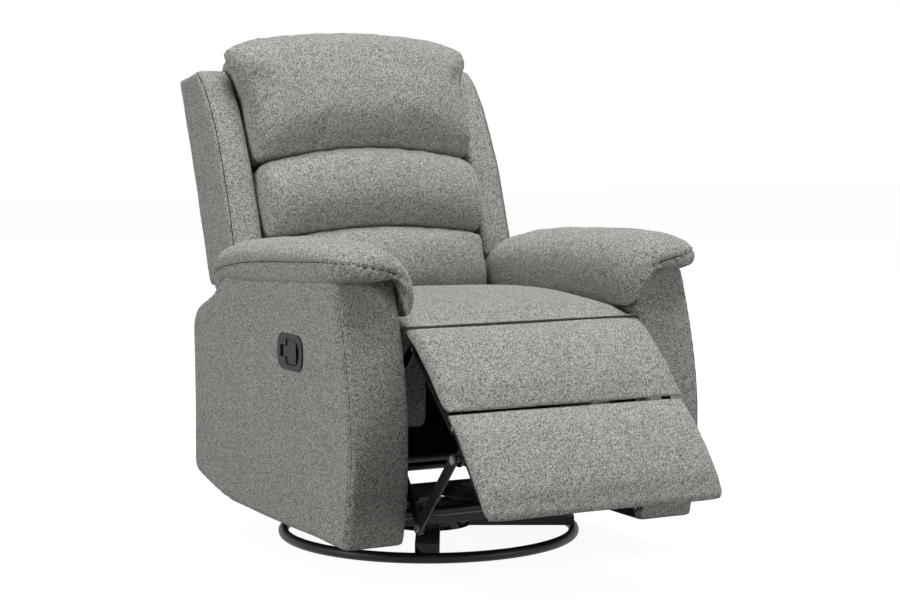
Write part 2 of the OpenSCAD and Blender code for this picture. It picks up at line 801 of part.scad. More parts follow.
// Release cable in its sleeve, held inside the arm from the handle's recess down to the inner panel
cable_d = 6;
cable_sides = 8;
cable_forward = 15;
cable_drop = 5;
cable_end_y = -100;
cable_end_z = 265;
cable_start = [-lever_x + bezel_deep, -bezel_y + cable_forward, bezel_z - cable_drop];
cable_end = [-arm_inner_x - arm_panel_t, cable_end_y, cable_end_z];
// Shares of the way from start to end, across, along and down
cable_shares = [
    [0, 0, 0], [0.1, 0, 0], [0.18, 0, 0.05], [0.2, 0.02, 0.2], [0.28, 0.12, 0.42], [0.42, 0.34, 0.66],
    [0.6, 0.66, 0.86], [0.76, 0.9, 0.97], [0.88, 1, 1], [1, 1, 1]
];
module release_cable() {
    way = cable_end - cable_start;
    route = [for (share = cable_shares) cable_start + [for (k = [0 : 2]) way[k] * share[k]]];
    sides = cable_sides;
    count = len(route);
    function heading(i) = unit(route[min(i + 1, count - 1)] - route[max(i - 1, 0)]);
    function across_of(h) = unit(cross(h, [0, 1, 0]));
    function up_of(h) = cross(across_of(h), h);
    rings = [for (i = [0 : count - 1], k = [0 : sides - 1])
        let (h = heading(i), a = 360 * k / sides)
        route[i] + cable_d / 2 * (cos(a) * across_of(h) + sin(a) * up_of(h))];
    walls = [for (i = [0 : count - 2], k = [0 : sides - 1])
        let (a = i * sides + k, b = i * sides + (k + 1) % sides, c = b + sides, d = a + sides)
        each [[a, c, d], [a, b, c]]];
    start = [[for (k = [0 : sides - 1]) sides - 1 - k]];
    finish = [[for (k = [0 : sides - 1]) (count - 1) * sides + k]];
    color(plastic_dark) polyhedron(points = rings, faces = concat(walls, start, finish), convexity = 4);
}

// Seat carriage
module seat_plates() {
    color(steel_black) both_sides() difference() {
        slab(seat_plate_x, plate_t) union() {
            translate([drive_pivot[0], roller_z - seat_strip_h / 2])
                square([roller_rear_y + 3 * roller_r - drive_pivot[0], seat_strip_h]);
            bar(drive_pivot, elbow, 2 * wide_boss_r);
            bar(elbow, hinge, 2 * boss_r);
        }
        for (p = [drive_pivot, hinge]) x_rod(p, seat_plate_x - cut, plate_t + 2 * cut, pin_d / 2);
        for (y = [roller_front_y, roller_rear_y])
            x_rod([y, roller_z], seat_plate_x - cut, plate_t + 2 * cut, pin_d / 2);
    }
}

module seat_rollers() {
    color(steel_bright) both_sides() for (y = [roller_front_y, roller_rear_y]) {
        x_rod([y, roller_z], seat_plate_x, plate_t, pin_d / 2);
        x_rod([y, roller_z], seat_plate_x + plate_t, arm_inner_x - seat_plate_x - plate_t - turn_gap, roller_r);
    }
}

seat_rail_x = drive_x - head_t - rest_gap;
seat_rail_rear_y = 120;
rail_corner_r = 25;
module seat_side_rails() {
    corner = rail_corner_r;
    color(cloth) both_sides() {
        slab(seat_rail_x - seat_rail_w, seat_rail_w) union() {
            translate([-seat_rail_front_y + corner, seat_rail_z + corner]) circle(corner);
            translate([-seat_rail_front_y + corner, seat_rail_z])
                square([seat_rail_rear_y + seat_rail_front_y - corner, seat_under_z - seat_rail_z]);
            translate([-seat_rail_front_y, seat_rail_z + corner])
                square([corner, seat_under_z - seat_rail_z - corner]);
        }
        // Spacers that the seat plates are bolted to
        for (y = [roller_front_y / 2, roller_rear_y / 2])
            x_rod([y, roller_z], seat_rail_x, seat_plate_x - seat_rail_x, boss_r);
    }
}

rail_low_z = 340;
board_t = 20;
module seat_cross_rails() {
    x1 = seat_rail_x - seat_rail_w;
    color(timber) for (y = [-seat_rail_front_y + board_t / 4, seat_rail_rear_y - board_t])
        block(-x1, x1, y, y + board_t, rail_low_z, seat_under_z);
}

wave_count = 9;
wave_steps = 4;
wave_w = 20;
spring_z = seat_under_z - 2 * spring_wire;
module seat_springs() {
    y0 = -seat_rail_front_y + board_t / 4 + board_t;
    y1 = seat_rail_rear_y - board_t;
    pitch = (y1 - y0) / wave_count;
    half = spring_wire / 2;
    x1 = seat_rail_x - seat_rail_w;
    function centre(t) = [wave_w * sin(360 * t), y0 + pitch * t];
    function slope(t) = unit([wave_w * cos(360 * t) * 2 * PI, pitch]);
    function side(t, s) = centre(t) + s * half * [slope(t)[1], -slope(t)[0]];
    steps = wave_count * wave_steps;
    color(steel_bright) for (i = [0 : spring_count - 1])
        translate([-x1 + (i + 0.5) * 2 * x1 / spring_count, 0, spring_z])
            linear_extrude(spring_wire) intersection() {
                polygon(concat(
                    [for (k = [0 : steps]) side(k / wave_steps, 1)],
                    [for (k = [steps : -1 : 0]) side(k / wave_steps, -1)]
                ));
                translate([-2 * wave_w, y0]) square([4 * wave_w, y1 - y0]);
            }
}

lip_angle = 94;
throat_angle = 10;
seat_top_steps = 10;
seat_lip_rise = 1.5;
seat_edge_r = 22;
module seat_cushion() {
    lip = arc(hinge, nose_r + fold_gap, throat_angle, lip_angle, 6);
    tip = lip[6] + [0, seat_lip_rise];
    top = [for (i = [0 : seat_top_steps])
        let (t = i / seat_top_steps)
        [tip[0] + (seat_rear_y - tip[0]) * t, tip[1] + (seat_rear_z - tip[1]) * t + seat_swell * dome(t),
            seat_half_w, dome(t), 0]];
    under = [[seat_rear_y, seat_under_z], [-seat_rail_front_y / 3, seat_under_z],
        [-seat_rail_front_y + board_t, seat_under_z]];
    outline = concat(
        [for (i = [0 : seat_top_steps]) top[seat_top_steps - i]],
        [for (i = [0 : 6]) [lip[6 - i][0], lip[6 - i][1], seat_half_w, 0, 0]],
        [for (i = [0 : 2]) [under[2 - i][0], under[2 - i][1], seat_half_w, 0, 0]]
    );
    core_z = (seat_under_z + seat_rear_z) / 2;
    core = [[-seat_rail_front_y + board_t, hinge_z + nose_r], [seat_rear_y - 2 * board_t, core_z]];
    color(cloth) upholstery(outline, core, seat_edge_r, [0, seat_crown]);
}

module seat_pivot_pins() {
    color(steel_bright) both_sides() for (p = [drive_pivot, hinge]) inward_pin(p, drive_x, seat_plate_x + plate_t);
}

// Upper leg rest
module chaise_board() {
    clear_end = fold_r + head_over + board_back;
    color(timber) in_chaise() block(-drive_x, drive_x, -chaise_l + clear_end, -boss_r - board_back,
        board_back, pad_back);
}

leg_edge_r = 16;
leg_steps = 8;
fold_lip_angle = 83;
module chaise_pad() {
    start = asin(pad_back / nose_r);
    end = asin(pad_back / (fold_r + fold_gap));
    nose = arc([0, 0], nose_r, start, 90, 5);
    fold_cut = arc([-chaise_l, 0], fold_r + fold_gap, fold_lip_angle, end, 5);
    front = [for (i = [1 : leg_steps - 1])
        let (t = i / leg_steps)
        [-(chaise_l - (fold_r + fold_gap) * cos(fold_lip_angle)) * t, nose_r + (fold_r - nose_r) * t + leg_swell * dome(t),
            leg_half_w, dome(t), 0]];
    outline = concat(
        [for (p = nose) [p[0], p[1], leg_half_w, 0, 0]],
        front,
        [for (p = fold_cut) [p[0], p[1], leg_half_w, 0, 0]]
    );
    core_z = (pad_back + fold_r) / 2;
    core = [[-chaise_l + 2 * fold_r, core_z], [-nose_r / 2, core_z]];
    color(cloth) in_chaise() upholstery(outline, core, leg_edge_r, [0, leg_swell / 2]);
}

module chaise_brackets() {
    color(steel_black) in_chaise() both_sides() difference() {
        slab(drive_x, plate_t) bar([0, 0], [-chaise_l, 0], 2 * boss_r);
        x_rod([0, 0], drive_x - cut, plate_t + 2 * cut, pin_d / 2 + pin_clear);
        x_rod([-chaise_l, 0], drive_x - cut, plate_t + 2 * cut, pin_d / 2);
    }
}

module fold_pins() {
    color(steel_bright) both_sides() inward_pin(fold, ear_x, drive_x + plate_t);
}

// Lower leg rest
module footrest_board() {
    color(timber) in_footrest() block(-ear_x, ear_x, -foot_l + leg_edge_r, -boss_r, board_back, pad_back);
}

foot_round_share = 0.9;
foot_nose_rise = 4;
module footrest_pad() {
    start = asin((pad_back + foot_nose_rise) / fold_r);
    nose = arc([0, 0], fold_r, start, 90, 5);
    front = [for (i = [1 : leg_steps - 1])
        let (t = i / leg_steps) [-(foot_l - leg_edge_r) * t, fold_r + leg_swell * dome(t), leg_half_w, dome(t), 0]];
    round_r = (fold_r - pad_back) * foot_round_share;
    toe = arc([-foot_l + round_r, fold_r - round_r], round_r, 90, 180, 4);
    outline = concat(
        [for (p = nose) [p[0], p[1], leg_half_w, 0, 0]],
        front,
        [for (p = toe) [p[0], p[1], leg_half_w, 0, 0]],
        [[-foot_l + round_r / 3, pad_back, leg_half_w, 0, 0]]
    );
    core_z = (pad_back + fold_r) / 2;
    core = [[-foot_l + fold_r, core_z], [-fold_r / 2, core_z]];
    color(cloth) in_footrest() upholstery(outline, core, leg_edge_r, [0, leg_swell / 2]);
}

bracket_share = 0.7;
module footrest_brackets() {
    ear_place = [-ear_along, -ear_behind];
    color(steel_black) in_footrest() both_sides() difference() {
        slab(ear_x, plate_t) union() {
            bar([0, 0], [-foot_l * bracket_share, 0], 2 * boss_r);
            bar(ear_place, [-ear_along, -board_back], 2 * wide_boss_r);
        }
        x_rod([0, 0], ear_x - cut, plate_t + 2 * cut, pin_d / 2 + pin_clear);
        x_rod(ear_place, ear_x - cut, plate_t + 2 * cut, pin_d / 2);
    }
}

module footrest_pins() {
    color(steel_bright) both_sides() fixed_pin(ear, ear_x, seat_plate_x + plate_t);
}

// Links that push the leg rest out
module drive_links() {
    color(steel_black) both_sides() difference() {
        slab(drive_x, plate_t) bar(drive_pivot, knee, link_w);
        x_rod(drive_pivot, drive_x - cut, plate_t + 2 * cut, pin_d / 2 + pin_clear);
        x_rod(knee, drive_x - cut, plate_t + 2 * cut, pin_d / 2);
    }
}

module drive_tube() {
    p = drive_pivot + (knee - drive_pivot) * drive_tube_share;
    color(steel_black) x_rod(p, -drive_x, 2 * drive_x, drive_tube_d / 2);
}

module knee_pins() {
    color(steel_bright) both_sides() fixed_pin(knee, drive_x, seat_plate_x + plate_t);
}

open_pivot_clear = 0.6;
module ottoman_links() {
    color(steel_black) both_sides() difference() {
        slab(seat_plate_x, plate_t) bar(knee, ear, link_w);
        x_rod(knee, seat_plate_x - cut, plate_t + 2 * cut, pin_d / 2 + pin_clear);
        x_rod(ear, seat_plate_x - cut, plate_t + 2 * cut, pin_d / 2 + open_pivot_clear);
    }
}

// Back, drawn upright about its hinge: Y runs to the rear and Z up along the back
back_rail_h = 55;
wing_block_inset = 15;
module back_frame() {
    foot = back_foot + board_t / 4;
    color(timber) in_back() union() {
        both_sides() block(post_x, back_plate_x, lobe_rear, frame_rear, foot, frame_top);
        for (z = [foot, crease_low, crease_high, frame_top - back_rail_h])
            block(-post_x, post_x, lobe_rear + board_t, frame_rear, z, z + back_rail_h);
        // Blocks that carry the wings
        both_sides() block(back_plate_x, wing_inner_x, lobe_rear + board_t, frame_rear,
            wing_foot + wing_block_inset, frame_top);
    }
}

back_panel_drop = 12;
module back_panel() {
    color(cloth) in_back() block(-back_plate_x, back_plate_x, frame_rear, back_behind, back_foot,
        wing_top - back_panel_drop);
}

// How far the wing's front edge stands before the hinge line, and where along its height
wing_front_reach = 27;
wing_front_shares = [
    [0, 0.74], [0.1, 0.89], [0.25, 1], [0.45, 0.96], [0.62, 0.7], [0.78, 0.22], [0.9, -0.52], [0.965, -1.37]
];
wing_top_back = 144;
wing_edge_r = 12;
wing_top_dip = 10;
module wing() {
    half_w = (wing_outer_x - wing_inner_x) / 2;
    span = wing_top - wing_foot;
    front = [for (s = wing_front_shares) [-s[1] * wing_front_reach, wing_foot + s[0] * span, half_w, 0, 0]];
    tip = front[len(front) - 1];
    rear = [
        [back_behind, wing_foot, half_w, 0, 0],
        [back_behind, wing_foot + span / 2, half_w, 0, 0],
        [wing_top_back, wing_top, half_w, 0, 0],
        [(wing_top_back + tip[0]) / 2, wing_top - wing_top_dip, half_w, 0, 0]
    ];
    outline = concat(rear, [for (i = [0 : len(front) - 1]) front[len(front) - 1 - i]]);
    core_y = back_behind / 2;
    core = [[core_y, wing_foot + core_y], [core_y, wing_top - core_y]];
    color(cloth) in_back() upholstery(outline, core, wing_edge_r, middle_x = (wing_outer_x + wing_inner_x) / 2);
}

lobe_steps = 8;
lobe_edge_r = 22;
widen_from_share = 0.7;
crease_gap = 0.3;
side_crown_share = 0.5;
low_arch = 16;
high_arch = 26;
function lobe_front(z0, z1, arch0, arch1, arch, w0, w1) = [for (i = [0 : lobe_steps])
    let (t = i / lobe_steps, wide = max(0, (t - widen_from_share) / (1 - widen_from_share)))
    [-(crease_out + lobe_bulge * dome(t)), z0 + (z1 - z0) * t, w0 + (w1 - w0) * wide, 1,
        (arch0 + (arch1 - arch0) * t) / arch]];

module lobe(z0, z1, arch0, arch1, w0, w1) {
    arch = max(arch0, arch1);
    front = lobe_front(z0, z1, arch0, arch1, arch, w0, w1);
    w = min(w0, w1);
    outline = concat(
        [[lobe_rear, z0, w, 0, arch0 / arch], [lobe_rear, (z0 + z1) / 2, w, 0, 0], [lobe_rear, z1, w, 0, arch1 / arch]],
        [[0, z1, w1, side_crown_share, arch1 / arch]],
        [for (i = [0 : lobe_steps]) front[lobe_steps - i]],
        [[0, z0, w0, side_crown_share, arch0 / arch]]
    );
    core = [[0, z0 + (z1 - z0) / 3], [0, z1 - (z1 - z0) / 3]];
    color(cloth) in_back() upholstery(outline, core, lobe_edge_r, [-lobe_crown, 0], [0, arch]);
}

lumbar_foot = 55;
module lumbar_lobe() {
    lobe(lumbar_foot, crease_low - crease_gap, 0, low_arch, lobe_low_half_w, lobe_half_w);
}

module middle_lobe() {
    lobe(crease_low + crease_gap, crease_high - crease_gap, low_arch, high_arch, lobe_half_w, lobe_half_w);
}

// The headrest lobe rises from the upper crease and folds over the top of the frame.
// Its front has shares of height, of bulge and of crown.
head_shares = [
    [0, 0, 1], [0.09, 0.72, 1], [0.2, 0.95, 1], [0.33, 1, 1], [0.48, 0.96, 1], [0.62, 0.86, 0.9],
    [0.75, 0.7, 0.8], [0.86, 0.48, 0.7], [0.94, 0.2, 0.6]
];
head_widen_shares = [0.62, 0.86];
head_core_shares = [0.33, 0.72];
head_bulge = 46;
head_fold = 40;
module headrest_lobe() {
    span = head_top - crease_high - crease_gap;
    z0 = crease_high + crease_gap;
    widen = head_half_w - lobe_half_w;
    fold_z = frame_top + rest_gap;
    function wide(t) = max(0, min(1, (t - head_widen_shares[0]) / (head_widen_shares[1] - head_widen_shares[0])));
    front = [for (s = head_shares)
        [-(crease_out + head_bulge * s[1]), z0 + span * s[0], lobe_half_w + widen * wide(s[0]), s[2], 1]];
    over = [
        [-crease_out / 2, head_top, head_half_w, 0.4, 1],
        [0, head_top, lobe_half_w, 0.2, 1],
        [lobe_rear, head_top, lobe_half_w, 0, 1],
        [head_rear - head_fold / 2, head_top - head_fold / 3, lobe_half_w, 0, 0.9],
        [head_rear, head_top - head_fold, lobe_half_w, 0, 0.6],
        [head_rear, fold_z, lobe_half_w, 0, 0],
        [lobe_rear, fold_z, lobe_half_w, 0, 0],
        [lobe_rear, z0 + span / 3, lobe_half_w, 0, 0],
        [lobe_rear, z0, lobe_half_w, 0, 1],
        [0, z0, lobe_half_w, side_crown_share, 1]
    ];
    ring = concat(front, over);
    outline = [for (i = [len(ring) - 1 : -1 : 0]) ring[i]];
    core = [[-crease_out, z0 + span * head_core_shares[0]], [0, z0 + span * head_core_shares[1]]];
    color(cloth) in_back() upholstery(outline, core, lobe_edge_r, [-lobe_crown, 0], [0, high_arch]);
}

bracket_top = [62, 150];
module back_brackets() {
    color(steel_black) in_back() both_sides() difference() {
        slab(back_plate_x, plate_t) bar([0, 0], bracket_top, 2 * wide_boss_r);
        x_rod([0, 0], back_plate_x - cut, plate_t + 2 * cut, pin_d / 2 + pin_clear);
    }
}

base_ring();
base_star();
bearing_lower_plate();
ball_cage();
bearing_balls();
king_bolt();
bearing_upper_plate();
glider_frame();
hanger_posts();
upper_link_pins();
glider_links_front();
glider_links_rear();
carriage_rails();
lower_link_pins();
cross_tubes();
base_plates();
base_plate_fasteners();
rear_panel();
arm_inner_panel();  // arm_inner_panel_left
mirror([1, 0, 0]) arm_inner_panel();  // arm_inner_panel_right
arm_frame();  // arm_frame_left
mirror([1, 0, 0]) arm_frame();  // arm_frame_right
arm_outer_panel();  // arm_outer_panel_left
arm_handle_panel();  // arm_outer_panel_right
arm_front_panel();  // arm_front_panel_left
mirror([1, 0, 0]) arm_front_panel();  // arm_front_panel_right
arm_pad();  // arm_pad_left
mirror([1, 0, 0]) arm_pad();  // arm_pad_right
handle_bezel();
lever_pin();
lever_spring();
release_cable();
release_lever();
seat_plates();
seat_rollers();
seat_side_rails();
seat_cross_rails();
seat_springs();
seat_cushion();
seat_pivot_pins();
chaise_board();
chaise_pad();
chaise_brackets();
fold_pins();
footrest_board();
footrest_pad();
footrest_brackets();
footrest_pins();
drive_links();
drive_tube();
knee_pins();
ottoman_links();
back_frame();
back_panel();
wing();  // wing_left
mirror([1, 0, 0]) wing();  // wing_right
headrest_lobe();
middle_lobe();
lumbar_lobe();
back_brackets();
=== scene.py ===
# Looks of the swivel glider recliner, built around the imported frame. Metres, +Z up, the chair faces -Y.
import math

import bmesh
import bpy
import numpy as np
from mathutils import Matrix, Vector
from mathutils.bvhtree import BVHTree


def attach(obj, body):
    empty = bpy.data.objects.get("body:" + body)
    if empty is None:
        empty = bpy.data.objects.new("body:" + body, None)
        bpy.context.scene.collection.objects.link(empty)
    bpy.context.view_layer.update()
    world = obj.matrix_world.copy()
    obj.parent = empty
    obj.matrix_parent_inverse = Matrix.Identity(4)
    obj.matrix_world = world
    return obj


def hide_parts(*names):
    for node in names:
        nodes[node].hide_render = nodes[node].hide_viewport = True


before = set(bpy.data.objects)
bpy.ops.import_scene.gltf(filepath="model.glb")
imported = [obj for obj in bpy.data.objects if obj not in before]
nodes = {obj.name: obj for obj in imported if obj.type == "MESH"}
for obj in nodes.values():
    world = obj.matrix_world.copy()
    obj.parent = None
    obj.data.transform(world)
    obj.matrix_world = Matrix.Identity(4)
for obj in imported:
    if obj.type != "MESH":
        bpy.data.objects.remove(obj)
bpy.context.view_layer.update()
scene = bpy.context.scene

# Camera, solved from the photograph: view direction in degrees, place in metres
CAMERA_AZIMUTH = -27.5
CAMERA_PITCH = 5.4
CAMERA_PLACE = (-2.117, -4.166, 0.945)
CAMERA_LENS_MM = 88.0

# Hinge lines in side view, as Y and Z, and how each part's own axes lean about X
BACK_HINGE = (0.200, 0.400)
BACK_LEAN = -math.radians(20.9)
CHAISE_LEAN = math.radians(40.6)
FOOT_LEAN = math.radians(48.3)

# Cloth simulation
SIM_FRAMES = 20
CUSHION_PRESSURE = 4.0
FINE_VOXEL = 0.006
PLAIN_VOXEL = 0.0065

# Steps along a path on a surface, along a seam's cord, and from stitch to stitch
PATH_STEP = 0.004
CORD_STEP = 0.005
STITCH_PITCH = 0.0085

# A stitch's rings: how far along it each lies, as a share of its length, and how thick it is there
STITCH_RINGS = [(-0.5, 0.25), (-0.3, 1), (0.3, 1), (0.5, 0.25)]

# From how far above a surface, and how far down, a thread is pressed on it
SETTLE_ABOVE = 0.015
SETTLE_DROP = 0.04


# Mesh helpers
def link(obj):
    scene.collection.objects.link(obj)
    return obj


def object_from(name, verts, faces):
    mesh = bpy.data.meshes.new(name)
    mesh.from_pydata([tuple(float(c) for c in v) for v in verts], [], [tuple(f) for f in faces])
    mesh.update()
    return link(bpy.data.objects.new(name, mesh))


def copy_of(name, *node_names):
    """A new object with the joined meshes of CAD nodes."""
    bm = bmesh.new()
    for node_name in node_names:
        bm.from_mesh(nodes[node_name].data)
    bmesh.ops.remove_doubles(bm, verts=bm.verts, dist=1e-5)
    mesh = bpy.data.meshes.new(name)
    bm.to_mesh(mesh)
    bm.free()
    mesh.materials.clear()
    return link(bpy.data.objects.new(name, mesh))


def face_outward(obj):
    bm = bmesh.new()
    bm.from_mesh(obj.data)
    bmesh.ops.recalc_face_normals(bm, faces=bm.faces)
    bm.to_mesh(obj.data)
    bm.free()


def coords(obj):
    flat = np.empty(3 * len(obj.data.vertices))
    obj.data.vertices.foreach_get("co", flat)
    return flat.reshape(-1, 3)


def normals(obj):
    flat = np.empty(3 * len(obj.data.vertices))
    obj.data.vertices.foreach_get("normal", flat)
    return flat.reshape(-1, 3)


def set_coords(obj, points):
    obj.data.vertices.foreach_set("co", points.ravel())
    obj.data.update()


def bake(obj):
    """Replaces the object's mesh with what its modifiers make of it."""
    graph = bpy.context.evaluated_depsgraph_get()
    mesh = bpy.data.meshes.new_from_object(obj.evaluated_get(graph))
    obj.modifiers.clear()
    obj.data = mesh


def modify(obj, kind, **settings):
    mod = obj.modifiers.new(kind.title(), kind)
    for key, value in settings.items():
        setattr(mod, key, value)
    return mod


def shade_smooth(obj):
    obj.data.polygons.foreach_set("use_smooth", [True] * len(obj.data.polygons))
    obj.data.update()


def even_mesh(obj, voxel, smooth_steps):
    modify(obj, "REMESH", mode="VOXEL", voxel_size=voxel)
    modify(obj, "SMOOTH", factor=0.5, iterations=smooth_steps)
    bake(obj)


def subdivide(obj):
    modify(obj, "SUBSURF", levels=1, render_levels=1)
    bake(obj)


def inflate(obj, pressure, room, lean=0.0, taper=0.0):
    """Swells the closed mesh as cloth under pressure. room holds how far a point may move down and up each
    of the piece's own axes, which lean about X. Within taper of its front and rear ends it rises less."""
    before = coords(obj)
    mod = obj.modifiers.new("Cloth", "CLOTH")
    cloth = mod.settings
    cloth.quality = 4
    cloth.mass = 0.3
    cloth.tension_stiffness = 15
    cloth.compression_stiffness = 15
    cloth.shear_stiffness = 5
    cloth.bending_stiffness = 0.5
    cloth.use_pressure = True
    cloth.uniform_pressure_force = pressure
    cloth.effector_weights.gravity = 0
    mod.point_cache.frame_start = 1
    mod.point_cache.frame_end = SIM_FRAMES
    for step in range(1, SIM_FRAMES + 1):
        scene.frame_set(step)
    bake(obj)
    scene.frame_set(1)
    turn = np.array([[1, 0, 0], [0, math.cos(lean), -math.sin(lean)], [0, math.sin(lean), math.cos(lean)]])
    moved = (coords(obj) - before) @ turn
    low, high = np.array(room).T
    moved = np.where(moved > 0, high * np.tanh(moved / high), low * np.tanh(moved / low))
    if taper:
        place = (before @ turn)[:, 1]
        t = np.clip(np.minimum(place - place.min(), place.max() - place) / taper, 0, 1)
        moved[:, 2] *= t * t * (3 - 2 * t)
    set_coords(obj, before + moved @ turn.T)


def shrink(obj, depth):
    set_coords(obj, coords(obj) - depth * normals(obj))


def ripple(obj, height, size, seed):
    """Low, broad unevenness of a padded cover."""
    rng = np.random.default_rng(seed)
    points, out = coords(obj), normals(obj)
    wave = np.zeros(len(points))
    for _ in range(5):
        direction = rng.normal(size=3)
        direction /= np.linalg.norm(direction)
        wave_length = size * rng.uniform(0.7, 1.5)
        wave += np.sin(points @ direction * 2 * math.pi / wave_length + rng.uniform(0, 6.28))
    set_coords(obj, points + out * (height / 5 * wave)[:, None])


# Paths on surfaces
def catmull_rom(a, b, c, d, t):
    """The point at t, from 0 at b to 1 at c, of the curve that passes through four points."""
    square, cube = 2 * a - 5 * b + 4 * c - d, 3 * b - 3 * c + d - a
    return 0.5 * (2 * b + (c - a) * t + square * t ** 2 + cube * t ** 3)


def smooth_path(points, step=PATH_STEP):
    """A Catmull-Rom curve through the points, cut into even steps."""
    p = np.array(points, float)
    ends = np.vstack([2 * p[0] - p[1], p, 2 * p[-1] - p[-2]])
    fine = []
    for a, b, c, d in zip(ends[:-3], ends[1:-2], ends[2:-1], ends[3:]):
        for t in np.linspace(0, 1, 24, endpoint=False):
            fine.append(catmull_rom(a, b, c, d, t))
    fine.append(p[-1])
    fine = np.array(fine)
    arc = np.concatenate([[0], np.cumsum(np.linalg.norm(np.diff(fine, axis=0), axis=1))])
    count = max(2, int(arc[-1] / step))
    even = np.linspace(0, arc[-1], count)
    return np.stack([np.interp(even, arc, fine[:, k]) for k in range(3)], axis=1)


def surface_of(obj):
    mesh = obj.data
    return BVHTree.FromPolygons([v.co for v in mesh.vertices], [tuple(p.vertices) for p in mesh.polygons])


def laid_on(obj, points, step=PATH_STEP):
    """The smooth path through the points, moved to the nearest place on the object, with its normals."""
    tree = surface_of(obj)
    found = [tree.find_nearest(Vector(p)) for p in smooth_path(points, step)]
    return np.array([f[0] for f in found]), np.array([f[1] for f in found])


def near_path(points, path, reach):
    """Which points lie within reach of the path, how far off it, and how far along it."""
    inside = np.all((points > path.min(0) - reach) & (points < path.max(0) + reach), axis=1)
    keep = np.flatnonzero(inside)
    p = points[keep]
    off = np.full(len(p), np.inf)
    along = np.zeros(len(p))
    start = 0.0
    for a, b in zip(path[:-1], path[1:]):
        way = b - a
        length = np.linalg.norm(way)
        if length < 1e-7:
            continue
        t = np.clip((p - a) @ way / length ** 2, 0, 1)
        d = np.linalg.norm(p - a - t[:, None] * way, axis=1)
        closer = d < off
        off[closer] = d[closer]
        along[closer] = start + t[closer] * length
        start += length
    return keep, off, along


def groove(obj, path, width, depth):
    points, out = coords(obj), normals(obj)
    keep, off, _ = near_path(points, path, 3 * width)
    points[keep] -= out[keep] * (depth * np.exp(-(off / width) ** 2))[:, None]
    set_coords(obj, points)


def gathers(obj, path, reach, depth, pitch, seed, lean=0.0):
    """Short folds that run from a seam into the cloth beside it."""
    rng = np.random.default_rng(seed)
    points, out = coords(obj), normals(obj)
    keep, off, along = near_path(points, path, reach)
    length = np.linalg.norm(np.diff(path, axis=0), axis=1).sum()
    count = int((length + abs(lean) * reach) / pitch) + 3
    strength = rng.uniform(0.25, 1, count)
    far = reach * rng.uniform(0.4, 1, count)
    shift = rng.uniform(-0.25, 0.25, count)
    place = (along + lean * off) / pitch
    fold = np.clip(np.round(place).astype(int), 0, count - 1)
    aside = np.abs(place - fold - shift[fold])
    valley = np.clip(1 - 2.4 * aside, 0, 1) ** 1.5
    fade = np.clip(1 - off / far[fold], 0, 1) ** 1.2
    points[keep] -= out[keep] * (depth * strength[fold] * valley * fade)[:, None]
    set_coords(obj, points)


def tracks_on(obj, points):
    """The tracks of a seam's cord and of its stitches, taken while the cloth is still smooth."""
    return laid_on(obj, points, CORD_STEP), laid_on(obj, points, STITCH_PITCH)


def settle(tree, place, out):
    """Where a place near the surface lands when it is pressed straight down on it, and the normal there."""
    hit = tree.ray_cast(Vector(place + SETTLE_ABOVE * out), Vector(-out), SETTLE_DROP)
    if hit[0] is None:
        hit = tree.find_nearest(Vector(place))
    return np.array(hit[0]), np.array(hit[1])


def stitch_row(name, obj, track, shift=0.0, length=0.0052, thick=0.0007):
    """A row of thread stitches along a track on the object, shift metres to its left."""
    path, out = track
    along = np.gradient(path, axis=0)
    along /= np.maximum(np.linalg.norm(along, axis=1), 1e-9)[:, None]
    aside = np.cross(out, along)
    tree = surface_of(obj)
    verts, faces = [], []
    for p, n, t, s in zip(path, out, along, aside):
        centre, up = settle(tree, p + shift * s, n)
        side = np.cross(up, t)
        base = len(verts)
        for end, fat in STITCH_RINGS:
            for k in range(4):
                a = math.pi * (0.25 + 0.5 * k)
                ring = (math.cos(a) * side + (math.sin(a) * 0.8 + 0.35) * up) * thick * fat
                verts.append(centre + t * length * end + ring)
        for ring in range(3):
            for k in range(4):
                a, b = base + ring * 4 + k, base + ring * 4 + (k + 1) % 4
                faces.append((a, b, b + 4, a + 4))
        faces.append((base + 3, base + 2, base + 1, base))
        faces.append((base + 12, base + 13, base + 14, base + 15))
    piece = object_from(name, verts, faces)
    shade_smooth(piece)
    return piece


def seam_shade_line(name, obj, track, radius=0.0011, sides=6):
    """A thin closed cord of painted shade that lies in a seam, half sunk in the cloth, and darkens the
    seam's crease.
    """
    out = track[1]
    tree = surface_of(obj)
    path = np.array([settle(tree, p, n)[0] for p, n in zip(*track)])
    for _ in range(6):
        path[1:-1] = (path[:-2] + 2 * path[1:-1] + path[2:]) / 4
    along = np.gradient(path, axis=0)
    along /= np.maximum(np.linalg.norm(along, axis=1), 1e-9)[:, None]
    aside = np.cross(out, along)
    verts, faces = [], []
    for p, n, s in zip(path, out, aside):
        for k in range(sides):
            a = 2 * math.pi * k / sides
            verts.append(p + radius * (math.cos(a) * s + math.sin(a) * n))
    for ring in range(len(path) - 1):
        for k in range(sides):
            a, b = ring * sides + k, ring * sides + (k + 1) % sides
            faces.append((a, b, b + sides, a + sides))
    faces.append(tuple(range(sides - 1, -1, -1)))
    faces.append(tuple(range(len(verts) - sides, len(verts))))
    return object_from(name, verts, faces)


# Materials
def material(name):
    mat = bpy.data.materials.new(name)
    mat.use_nodes = True
    tree = mat.node_tree
    return mat, tree, tree.nodes["Principled BSDF"]


def node(tree, kind, **settings):
    made = tree.nodes.new(kind)
    for key, value in settings.items():
        if key in made.inputs:
            made.inputs[key].default_value = value
        else:
            setattr(made, key, value)
    return made


def ramp(tree, source, stops):
    made = tree.nodes.new("ShaderNodeValToRGB")
    elements = made.color_ramp.elements
    while len(elements) < len(stops):
        elements.new(0.5)
    for element, (at, shade) in zip(elements, stops):
        element.position = at
        element.color = (*shade, 1)
    tree.links.new(source, made.inputs[0])
    return made.outputs[0]


